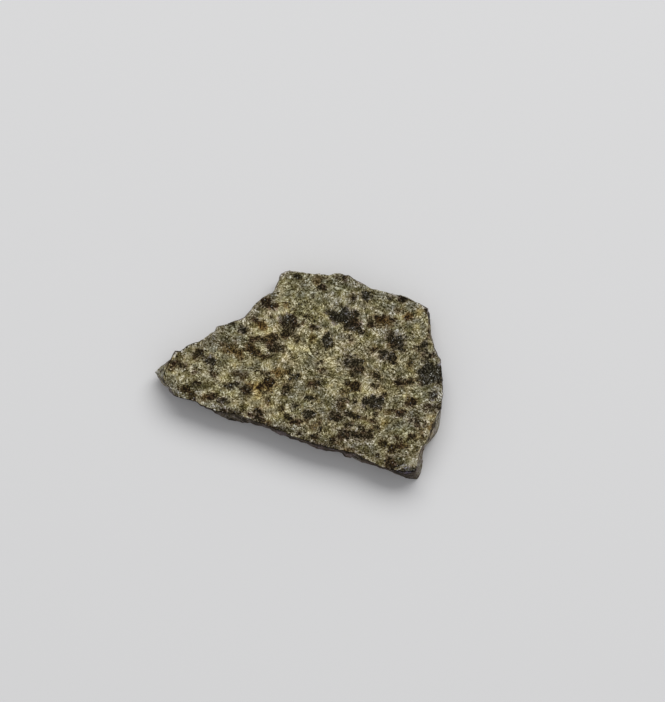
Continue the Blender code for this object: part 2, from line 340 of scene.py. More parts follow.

# %% [markdown]
# ## Where the big grains are
#
# Shergottite is mostly tiny pale needles, with far larger dark crystals of olivine and pyroxene among them.
# The eye knows this stone by its dark grains, so each one is listed, like a freckle on a portrait: its
# middle, half its length and width, and its turn in degrees, all in the view. Real grains are solid, so each
# is an ellipsoid that the saw has cut, and one that touches the rim goes on down the side.

# %% Grains and stains: x, y, half length, half width, turn anticlockwise
BLACK_GRAINS = (
    (170.5, 368, 2.2, 2, 0), (177.5, 364, 8.4, 2.8, -12), (182.5, 365, 2.6, 1.8, -30), (184, 387.5, 4, 2.4, 0),
    (190, 392.5, 4, 2, -25), (194, 356, 3.6, 2.2, 20), (194.5, 397.5, 3, 2.2, 0), (195.5, 371.5, 3, 2, 0),
    (196, 382.5, 3.4, 2, 0), (200, 353, 4, 4, 0), (206, 357.5, 4, 1.2, 15), (211.5, 361, 5.4, 4.2, -10),
    (212.5, 396.5, 5, 3.4, 10), (213, 374, 2.2, 4, 25), (222.5, 410.5, 4, 1.2, -12), (223, 400.5, 5, 2, -5),
    (231, 323.5, 2.4, 2.2, 0), (231, 386, 6.5, 3, 5), (235, 412.5, 6, 1.6, -10), (238, 384.5, 4, 3, 0),
    (244, 330.5, 4.2, 3.2, -10), (245.5, 389, 6.4, 5, -15), (248.5, 348, 4, 3.2, 0), (251, 415, 4, 2.4, -20),
    (254, 339.6, 4, 1.5, 0), (255, 352.5, 4, 4, 0), (256, 319.5, 4.4, 3, 0), (257.5, 413, 4.6, 3.6, 0),
    (260.5, 419.5, 4, 3.6, -30), (262, 387, 3, 3, 0), (265, 340, 4, 2.4, -15), (265, 374, 4.2, 2.8, -20),
    (265.5, 302.5, 5.6, 4.6, 0), (266, 391.5, 3.6, 2.6, 0), (267, 341, 3, 2.4, 10), (267, 356, 5, 1.6, 0),
    (267, 399.5, 2.6, 3.6, 0), (268.8, 382.5, 5.8, 6, 0), (271, 317, 2.2, 1.2, -40), (272, 306, 5, 3, -15),
    (272, 426.5, 7, 2.4, -8), (273, 426, 7, 1.8, -6), (274, 337, 6.5, 4, 0), (275, 346, 7.5, 5.4, -25),
    (275, 428, 6, 1.6, -14), (281, 316.5, 2.2, 1.8, 0), (281.5, 348, 3.6, 4, -20), (282, 408.5, 2.2, 2, 0),
    (283, 391.5, 2.2, 2.8, 0), (285, 432.5, 4, 1.4, -20), (286, 333.5, 6, 4.6, 0), (287, 386.5, 4, 5, 0),
    (289, 417, 4.4, 3, -35), (289.5, 322.5, 9, 8.6, 0), (291, 378, 2.6, 4, 0), (292, 333, 3, 2.6, 0),
    (295, 405.8, 3.4, 2, 15), (296, 376.5, 3.6, 3.2, 0), (297, 276.5, 3, 2, -30), (297, 326, 2.6, 3.2, 0),
    (297, 338.5, 4.6, 2.6, -30), (297.5, 421.5, 5.2, 2.2, 10), (299.5, 433, 3.2, 2.8, 0), (303, 440, 4, 1.6, -15),
    (304, 321, 2.4, 1.6, 0), (306, 316.5, 3.4, 1.8, -20), (309, 414.5, 6.6, 4.2, 0),
    (309.5, 397.5, 4.8, 2.2, -15), (312.5, 383.5, 4.2, 3, 0), (313, 436, 3, 3, 0), (313.5, 297, 2, 1.8, 0),
    (315.5, 327.5, 3.4, 2, -25), (317, 353.5, 2.6, 2, 0), (318, 382, 3, 2.2, 20), (318.5, 363, 3, 2.4, 0),
    (319.5, 424, 2.2, 6, 0), (320, 444, 6, 1.4, -12), (321, 371, 4, 2.4, -20), (321.5, 287.5, 3.4, 2.4, 0),
    (327.5, 341, 5.6, 7.2, 0), (328.5, 312.5, 2.4, 1.8, 0), (334, 439.5, 3.6, 2.2, 0),
    (334.5, 416.5, 6.4, 5, -15), (335.2, 316.8, 6, 5.6, 0), (339, 402.5, 2.4, 3.6, 0), (340.5, 322, 5, 2.4, 0),
    (341, 307, 2.4, 1.6, 0), (341, 398.5, 3, 2, 0), (341, 434.5, 3.8, 4.6, 0), (343, 278, 4.2, 3, 0),
    (344, 451.5, 6, 1.4, -12), (344.5, 326, 2.4, 5, 0), (345, 315.5, 6.4, 7.6, 0), (345, 432, 4, 2, -30),
    (346, 454.5, 7, 2, -25), (347, 363, 2.6, 4, 0), (347, 383, 2.6, 2.6, 0), (347, 399, 3, 2, 0),
    (347, 436, 2.6, 3.6, 0), (348.5, 413.5, 4.2, 2.4, -20), (349, 338, 3, 2.4, 0), (349, 424.5, 4, 4, 0),
    (349.5, 356.8, 4.4, 2, 0), (350.5, 323.5, 10, 5.6, -35), (351, 366, 3.6, 3.4, 0), (351.5, 340, 2.6, 3, 0),
    (352.5, 298, 3.2, 3.6, 0), (352.5, 373.5, 4.2, 5, 0), (354.5, 314.5, 4, 3.6, 0), (354.5, 401, 2.4, 4.6, 0),
    (355, 386.5, 5, 4, 0), (355.5, 435, 6, 3.8, -30), (356, 363.5, 7.8, 4.6, 0), (356.5, 371, 5, 4.6, 0),
    (357, 417, 4, 2.2, -20), (357, 457, 6, 1.2, -15), (359.5, 427, 3, 2.4, 0), (360, 326, 3, 5, 0),
    (361, 331, 3.4, 2.8, -20), (361, 460.5, 6, 1.6, -22), (362, 367, 2.6, 3.4, 0), (366.5, 296, 5.2, 4.4, 0),
    (366.8, 402.5, 4, 5.6, 0), (367, 433.5, 6.4, 4.6, 0), (371, 322.5, 3.2, 5, 0), (371, 350, 3, 1.6, 0),
    (373, 402, 5.6, 6, 0), (373, 421.5, 3.4, 2.2, 0), (374, 385, 4.4, 2.2, 15), (375, 414, 2.2, 2, 0),
    (376, 375, 5.4, 2.6, -38), (376.5, 427, 2.6, 3, 0), (378, 456.5, 2, 2, 0), (379, 406, 3.8, 3, 0),
    (379.5, 317.5, 5, 2.6, 0), (380.5, 357, 2.4, 2.8, 0), (380.5, 401.5, 4, 4.6, 0), (382, 356, 3, 3.6, 0),
    (382.5, 443.5, 4, 3.6, 0), (384, 395, 4.4, 2.4, 25), (384.5, 354, 4.4, 3.8, 0), (388, 337.5, 3.6, 4, 0),
    (389.5, 299.5, 2.6, 2.4, 0), (389.5, 460.5, 3.4, 5.2, 0), (390.8, 357.5, 5, 4.6, 0), (391, 450, 2.6, 2.6, 0),
    (391.5, 335.5, 4.6, 4.4, 0), (391.5, 341, 4.6, 4.6, 0), (392.5, 320, 2.6, 2, 0), (392.5, 362, 3, 2, 0),
    (393, 346, 4, 3, 0), (395.5, 445, 6, 3.2, 15), (396, 471, 5, 1.2, -10), (397, 438, 3.6, 3.2, 0),
    (397, 465, 5.4, 2.4, 10), (399, 412.5, 5.6, 2.6, 0), (400, 342.5, 5, 8, 20), (400, 382.8, 4.6, 3.6, 0),
    (402, 299, 4.4, 3.8, 0), (405, 469.3, 9.5, 2.2, 8), (407, 297, 4, 1.6, -10), (407.5, 317, 2, 2, 0),
    (408.5, 403, 3.4, 3.8, 0), (409, 382, 4, 2.8, 0), (410, 364, 2, 2.6, 0), (411.5, 437, 3, 4, 0),
    (412.5, 421.5, 2.6, 2.6, 0), (413.5, 403.5, 3.4, 3, 0), (416.5, 422.5, 3.2, 4, 0), (418, 474, 1.4, 5, 0),
    (418.5, 377, 2.6, 3, 0), (420, 349, 5.4, 2.2, 0), (422, 382, 3.4, 3.4, 0), (422.5, 373, 4.6, 5.6, 0),
    (423.5, 355, 2.6, 3.2, 0), (424, 351, 4, 2, -20), (424.5, 424.5, 1.8, 4, 0), (425, 344.5, 3, 3.2, 0),
    (425.5, 380.5, 5.4, 4, 0), (426, 358.5, 3, 3, 0), (426, 405, 3, 2.6, 0), (427, 309, 2, 3.2, 0),
    (429, 334, 1.4, 4, 0), (430, 372, 6.6, 9.4, 0), (430, 406.5, 4.8, 2.6, 0), (430, 410.5, 5.4, 2.4, 0),
    (430.5, 355.5, 2.6, 3, 0), (433, 379, 5, 5, 0), (433.5, 395, 3, 5.2, 0), (434, 407.5, 4, 2.6, 0),
    (437.5, 372, 5, 9.6, 0), (437.5, 379, 4.6, 6, 0), (437.5, 407, 4, 2.8, 0),
)
BROWN_GRAINS = (
    (171.5, 367.5, 3.4, 3.2, 0), (187, 390.5, 5, 2.6, -20), (204, 398, 3.8, 2.8, 0), (224, 345, 3.4, 2.8, 0),
    (230, 349.5, 8.5, 4.4, -8), (236.5, 344.5, 2.2, 3, 0), (236.5, 373.5, 3, 2, 0), (240, 354.5, 4.2, 4.6, 0),
    (243, 375.5, 3.8, 2.8, 0), (251, 384.5, 3, 2, 0), (251.5, 348.5, 7.5, 4.6, -30), (254, 339.8, 4, 1.8, 0),
    (261.5, 387.5, 3.6, 4, 0), (263, 325, 3.6, 4.6, 0), (266, 421.5, 4, 1.6, -20), (277, 372, 4.4, 4.2, 0),
    (277, 391.3, 2.6, 1.6, -10), (284.5, 372.8, 3.2, 2.2, 0), (286, 305, 3.4, 2.6, 0),
    (294.8, 308.5, 2.4, 1.4, 0), (296.5, 421.5, 6, 3, 10), (304, 321, 3.6, 2.2, 0), (308, 420.5, 4, 2.6, 0),
    (311.8, 325, 1.6, 4.4, 0), (313, 425.5, 4.6, 3.6, 0), (313.5, 339.5, 2, 2.4, 0), (313.5, 384, 6, 4.4, 0),
    (314, 437, 3, 3, 0), (317.5, 279, 4, 5, -15), (326, 277.8, 4.6, 2.4, 0), (337.5, 442.5, 3.6, 2.4, 0),
    (341, 404.5, 4.4, 5, 0), (345.5, 391, 5, 2.4, 10), (349, 448, 6, 2.2, -20), (353.5, 386.5, 6, 4.8, 0),
    (355.5, 322.5, 5, 5, -30), (366, 417.5, 3.4, 2.6, 0), (371.5, 351, 4, 2.4, 0), (380, 325.5, 6, 2, 0),
    (385, 321, 10, 4.4, 5), (388, 463, 3, 4, 0), (389, 346, 3, 3, 0), (389.5, 462.5, 4.2, 5, 0),
    (391, 411.5, 6.5, 2, 0), (399, 310.5, 3, 2.6, 0), (404, 446, 4, 2.2, 0), (408.3, 316.5, 4, 4, 0),
    (409, 398, 2.8, 3, 0), (411, 403, 6.4, 4.8, -10), (421, 432, 3.4, 3.6, 0), (421.5, 437, 2.4, 3, 0),
    (431.5, 423, 2, 3.4, 0),
)
OLIVE_GRAINS = (
    (179.5, 356.5, 3.8, 3.8, 0), (180, 373, 2, 3, 0), (184, 387, 6, 3.4, 0), (186, 390, 5, 2.6, -20),
    (186.5, 373, 3, 2.8, 0), (190.5, 351, 2, 2.4, 0), (192, 381, 4, 2.4, -10), (196, 377, 5, 2, 0),
    (199, 385, 8, 3.6, 0), (203, 380, 4, 2.4, 0), (208, 379.5, 4.6, 1.8, 0), (211.5, 384.5, 4, 4, 0),
    (219, 393, 3, 3.4, 0), (221, 335, 6, 3, -22), (224, 335.5, 5, 2.4, 0), (227.5, 340, 3, 2.4, 0),
    (228, 363, 1.8, 2.6, 0), (228, 402, 3, 2.4, 0), (231, 331, 2.2, 3.6, 0), (231, 379, 3, 4, 0),
    (233, 346.5, 4.6, 3, 0), (234, 326, 3, 2, 0), (234, 386, 2.6, 2.2, 0), (238, 385, 3, 2, 0),
    (244, 407.5, 4.6, 4.4, 0), (249, 379.5, 3, 2, 0), (253, 325, 3, 3.8, 0), (255, 321, 4, 1.4, -25),
    (255, 412, 2.4, 3, 0), (259, 366, 2.4, 3, 0), (262, 311, 4.6, 3.4, 0), (266, 396, 2.4, 3, 0),
    (271, 402, 2.6, 2, 0), (271.5, 316.5, 2.6, 1.4, -40), (272, 357.5, 8, 2.4, 0), (272, 395, 3, 2, 0),
    (274.5, 356, 5.4, 2.4, 60), (275, 321, 2.4, 1.6, -45), (279, 389, 3, 2.4, 0), (279.5, 391, 2.4, 3, 0),
    (280.5, 316, 2.8, 2, -20), (281, 330, 2.2, 2.2, 0), (281, 382, 2.2, 1.8, 0), (281, 408.5, 2.6, 2, 0),
    (283, 281, 3.4, 2.2, -20), (284, 396, 2, 2.6, 0), (284, 404, 2.4, 3, 0), (287, 418, 4.6, 3.4, -20),
    (288, 401, 3, 2.6, 0), (290.5, 280, 3, 3.4, 0), (291, 431, 5, 2, -15), (292, 381, 2.8, 1.5, 0),
    (293, 370, 3.4, 2.4, 0), (293.5, 286.5, 3, 4.4, 0), (294, 275, 4.5, 3, -20), (294.5, 357, 4, 2.8, 20),
    (296, 280.5, 3, 2.4, 0), (296, 411, 4, 2.8, 0), (297, 281, 3.4, 2.4, 0), (298, 276.5, 4.6, 3.4, -30),
    (299, 313, 3.4, 1.6, -10), (300, 299, 3.6, 1.2, 0), (300, 434, 7, 1.8, -12), (302, 336, 3, 2, 0),
    (303, 437, 3.6, 2.4, 0), (303.5, 320, 3.4, 2.6, 0), (304, 320.5, 4, 2, 0), (304, 430, 4, 2.4, 0),
    (304.5, 317, 2.2, 4, 0), (305.5, 290, 4, 1.8, -10), (307, 319.5, 4, 2, 0), (308, 317.5, 2.4, 3, 0),
    (308, 381, 3.4, 4, 0), (309, 305, 2.4, 1.8, 0), (312, 298, 3.6, 2, 0), (313, 339, 3.6, 4, 0),
    (313, 374.5, 4.4, 2.6, 0), (313.5, 297.2, 3, 2.6, 0), (316, 309, 5, 2.4, 0), (316, 318, 3.6, 2.4, 0),
    (316.5, 340.5, 4, 3.4, 0), (317, 320, 2.2, 3, 0), (318, 301.5, 3, 2, 0), (319.5, 346, 2.6, 3, 0),
    (320, 440, 7, 2, -12), (323.5, 292.5, 3.4, 1.8, 0), (324, 446, 5, 1.8, -10), (325, 437.5, 4, 3, 0),
    (325.5, 384, 2.6, 3.6, 0), (325.5, 436.5, 4, 4, 0), (325.7, 324.5, 3.2, 3, 0), (326, 430, 4, 3, 0),
    (326.5, 303.5, 3.4, 2.2, 0), (328.5, 283, 3.2, 2.4, 20), (329, 368, 2, 2.2, 0), (329, 402.5, 3, 3.2, 0),
    (330, 397, 2.2, 2.6, 0), (334, 373.5, 4.4, 2.2, -10), (337, 433, 5, 2.2, 0), (337.5, 293, 2.4, 2.2, 0),
    (338.5, 425, 2.6, 3, 0), (341, 306.5, 3.6, 2.4, 0), (342, 444, 5, 2.6, -10), (343, 407, 3, 3, 0),
    (343, 450, 8, 2, -14), (344, 286.5, 4, 2.4, 0), (345, 322, 2.2, 2.8, 0), (349.5, 389.5, 4, 2.4, 0),
    (350, 290.5, 3, 1.8, 0), (351, 281, 2.4, 2.2, 0), (351, 391, 2.2, 2.8, 0), (352, 305, 2.8, 2.8, 0),
    (353, 395, 3, 3, 0), (355, 279.5, 2, 1.6, -35), (357.5, 290, 3, 1.4, 0), (358, 376, 2.2, 2.2, 0),
    (360, 364, 2.6, 2.4, 0), (363, 447, 5, 2.4, -10), (366, 450, 5, 2.4, 0), (367.5, 335, 3.4, 4.4, 0),
    (368, 312, 4, 2.8, 0), (369, 371, 2.8, 1.8, 0), (370, 361, 5, 2.4, 0), (370, 454, 2.4, 2.8, 0),
    (370.5, 455, 3, 2.4, 0), (371, 369.5, 4, 2.4, -20), (371, 409.5, 3, 2.6, 0), (374, 338, 2.6, 2.4, 0),
    (375, 304.5, 3.6, 2.4, 0), (375, 433.5, 2.4, 3.4, 0), (375.5, 443.5, 2.4, 3.6, 0), (379, 462, 4, 2.6, 20),
    (380, 347, 5, 1.6, -45), (382, 453, 2, 3.6, 0), (382.5, 443.5, 5.2, 4.8, 0), (384, 366, 2.8, 2.6, 0),
    (385, 341, 4, 2, 0), (385.5, 308, 3, 5, 0), (387, 303, 2.6, 3, 0), (387, 396, 3.6, 2.2, -30),
    (389, 382, 2.6, 3.6, 20), (391, 301, 6, 2.4, -10), (391, 451, 3, 3, 0), (392, 420.5, 8, 2.4, 0),
    (393, 387.5, 5, 2.4, 0), (393, 433, 8, 3.2, 0), (394, 329, 2.6, 2.6, 0), (394, 407, 3, 2.4, 0),
    (400, 462, 4.6, 4.2, 0), (402, 331, 2.8, 1.4, 0), (402, 374, 5, 2.2, -10), (403, 356, 2.6, 2.2, 0),
    (404, 326, 4, 2.2, 0), (404, 347, 2.2, 3.6, 0), (407, 329, 5.4, 3.4, 0), (407, 470, 3, 2, 0),
    (408, 348.5, 5, 2.4, 0), (408, 459, 3, 4, 0), (409.5, 430, 3.6, 2.6, 0), (410, 362, 2.4, 3.4, 0),
    (411, 333, 3.4, 3.2, 0), (411, 371.5, 4, 2, 0), (411, 442, 5, 3, 0), (411, 452, 3, 4, 0),
    (412, 329, 2.2, 2.6, 0), (414, 450, 3, 4, 0), (414.5, 312.5, 4, 2.2, 0), (415.5, 406.5, 3, 2, 0),
    (415.5, 446, 2.6, 4, 0), (416, 340, 2.4, 2, 0), (416, 365, 2.4, 3.6, 0), (416, 413, 3.4, 3.4, 0),
    (420, 401, 2.6, 3, 0), (420.5, 414.5, 3.4, 3, 0), (425, 390, 3, 2.6, 0), (430, 345, 2.4, 3.4, 0),
)
GREY_GRAINS = (
    (166, 383, 4.4, 2.8, -40), (172, 383, 3, 7, 30), (174.5, 377.5, 2.6, 2, 0), (175, 392.5, 4, 2.8, -20),
    (179.5, 356.5, 3.4, 3.4, 0), (195, 366, 3.8, 2.2, 30), (199, 374, 2.8, 1.8, 0), (199, 385, 7.6, 3.2, 0),
    (205, 389, 8, 1.8, 8), (207, 405, 3, 1.8, 0), (208, 368, 3, 2.4, 0), (209, 344, 5, 5, 0),
    (213, 338, 3, 2.4, 0), (213, 348, 5, 3, 0), (214, 346, 3, 2.6, 0), (214, 349, 3, 3, 0), (215, 366, 2, 3.6, 0),
    (215, 369, 3, 3, 0), (221, 363, 8, 4.6, 0), (221, 376.5, 3, 1.6, 0), (222, 337, 4.6, 2, -22),
    (226, 356, 4, 3, 0), (229, 350, 2.8, 3.6, 0), (229.5, 327, 3, 4, 0), (231, 325, 4, 3, 0), (234, 384, 3, 4, 0),
    (234.5, 326.5, 4, 2.4, 0), (238, 338, 2.4, 2.4, 0), (238, 359, 5, 2, -15), (240, 374, 7, 4, 0),
    (243, 402, 3, 4, 0), (246, 395, 8, 4, 0), (252, 368, 3, 2, 0), (253, 402.5, 5, 2, 0), (257, 364, 2.2, 4, 0),
    (257.5, 314.5, 3.4, 2.6, 0), (258, 308.5, 3.4, 4, 0), (270, 411, 3, 2.4, 0), (273, 296, 4, 3, 0),
    (273, 362, 2.8, 2.8, 0), (276, 410, 2.2, 4, 0), (281, 298, 3.4, 3, 0), (281.5, 341, 2.4, 3, 0),
    (282, 429, 5, 2.2, -12), (285, 364.5, 3, 2.4, 0), (287, 366.5, 2.4, 2.4, 0), (288, 291, 4, 4, 0),
    (292, 292, 2.8, 1.8, 0), (292.5, 394, 4, 2.8, 0), (295, 308, 4, 2.2, 10), (295, 381, 5, 2, 0),
    (295, 384, 2.8, 5, 0), (295, 406, 4.6, 3, 10), (297, 313, 5.4, 3, -10), (297, 336, 2.4, 7, 0),
    (298, 277, 5, 4, 0), (299, 369, 3, 2.6, 0), (299.5, 310, 3, 2.4, 0), (301, 294.5, 4.8, 3.6, 0),
    (303, 284, 3, 2.2, 0), (303, 339, 3.4, 4.4, 0), (303, 388, 4, 4, 0), (305, 303, 3, 2.6, 0),
    (305.5, 404, 2.6, 2.6, 0), (308, 290.5, 8, 2.6, -30), (308, 362, 4.6, 4.2, 0), (308, 420, 3.8, 2.8, 0),
    (308.5, 364.5, 4, 3.4, 0), (309.5, 278, 3, 3, 0), (310, 306, 3, 2.4, 0), (312, 358.5, 3, 2, 0),
    (314, 294.5, 3.6, 4, 0), (314, 297, 3.8, 2.4, 0), (314, 440.5, 6, 1.5, -8), (315, 366, 3, 3, 0),
    (317.5, 376, 2.6, 2.4, 0), (317.5, 391, 3.4, 3.4, 0), (319, 344, 3, 4, 0), (319.5, 301.5, 3.4, 3.6, 0),
    (320, 382, 4, 3, 0), (321, 396, 2.4, 3, 0), (321.5, 410.5, 3.4, 3, 0), (322, 288, 4.4, 3, 0),
    (322.5, 437.5, 5, 3, 0), (324, 280.5, 3, 3, 0), (324, 293, 3.8, 1.6, 0), (324.5, 324.5, 3.4, 2.4, 0),
    (325, 309, 3.4, 3, 0), (325, 345, 2.6, 5, 0), (325, 423, 3, 3, 0), (325.5, 437, 4, 3.6, 0),
    (328, 418, 7, 2.2, 0), (329, 300, 5, 2.6, 0), (331.5, 353, 4, 3.4, 0), (332, 332, 3, 4, 0),
    (332, 421, 4, 2, 0), (332, 446, 5, 2.4, -8), (333, 282, 3, 2, 0), (333, 290, 2.8, 1.8, 20),
    (334.5, 386, 3, 3, 0), (338.5, 359.5, 4, 2.4, 0), (339, 422, 3, 2.6, 0), (340, 335, 3, 3.4, 0),
    (340, 420, 4, 3, 0), (340.5, 378, 3, 2.2, 0), (343, 338, 4, 4, 0), (343.5, 286, 5, 3, 0),
    (345, 322, 2.6, 2.6, 0), (346, 364, 3.8, 5, 0), (353, 395.5, 4, 2.6, 0), (354, 302.5, 4, 2, 0),
    (354, 445, 3, 2.2, 0), (355, 404, 2.8, 1.8, 0), (355, 437, 5, 2, 0), (359, 375, 4, 3, 0),
    (360, 378, 2.4, 3, 0), (363, 304, 2.4, 6, 0), (366, 316, 2.6, 3.6, 0), (369, 367, 3.4, 4, 0),
    (369, 381, 3, 2.2, 0), (369, 408, 2.4, 2.4, 0), (371, 361, 5, 2.4, 0), (371, 410, 3, 3, 0),
    (372, 449, 2.6, 5, 0), (374, 352.5, 3, 1.6, 0), (374, 434, 2.6, 3, 0), (374, 449, 2.6, 3.8, 0),
    (375, 301.5, 3.6, 3.6, 0), (376, 293.5, 7, 2.8, -22), (380, 341.5, 4, 3, 0), (384, 381, 4, 3.4, 0),
    (387, 306.5, 6, 2.2, 0), (387, 373.5, 5, 3, 0), (387, 387, 4, 2.4, 0), (387, 427.5, 2.6, 4, 0),
    (393.5, 442.5, 3, 2, 0), (396, 305, 3, 2, 0), (396, 398, 3, 2.2, 0), (398, 423, 6, 4.6, 0),
    (398, 458, 5, 3, 0), (400.5, 368.5, 5, 3, 0), (401, 388, 3, 2.6, 0), (402.5, 450, 3, 2, 0),
    (403, 298.5, 5.4, 3.6, 0), (404, 375, 2.8, 2.8, 0), (405, 424, 2.4, 3, 0), (408, 327, 4, 4, 0),
    (409, 306, 4.4, 3, 0), (409, 427, 3, 3, 0), (410.5, 429.5, 3.6, 3, 0), (412, 413, 3, 4, 0),
    (414, 357, 3, 3, 0), (414, 366, 2.4, 3.8, 0), (415, 405, 2.8, 2.2, 0), (416, 320.5, 5, 2, 0),
    (422, 439, 2.4, 3, 0), (422.7, 327, 2.6, 3.6, 0), (423, 335, 2.8, 2.8, 0), (425, 396, 5, 4.4, 0),
    (428, 388, 4, 3, 0), (428, 408, 2.4, 2.2, 0),
)
RUST_STAINS = (
    (180, 356.5, 4, 3.6, 0), (229, 351, 8, 4, -8), (240, 355, 4, 4, 0), (248, 383, 4, 2.5, -20),
    (256, 387, 5, 6, 0), (257, 394, 4, 4, 0), (262, 325, 4, 5, 0), (267, 387, 8, 6, 0), (270, 338, 5, 4, 0),
    (277, 372, 4, 5, 0), (384, 321, 8, 3, 0), (384, 422, 3.4, 3, 0), (407, 316, 4, 3, 0), (419, 312, 4, 5, 0),
    (432, 424, 3.4, 7, 0),
)
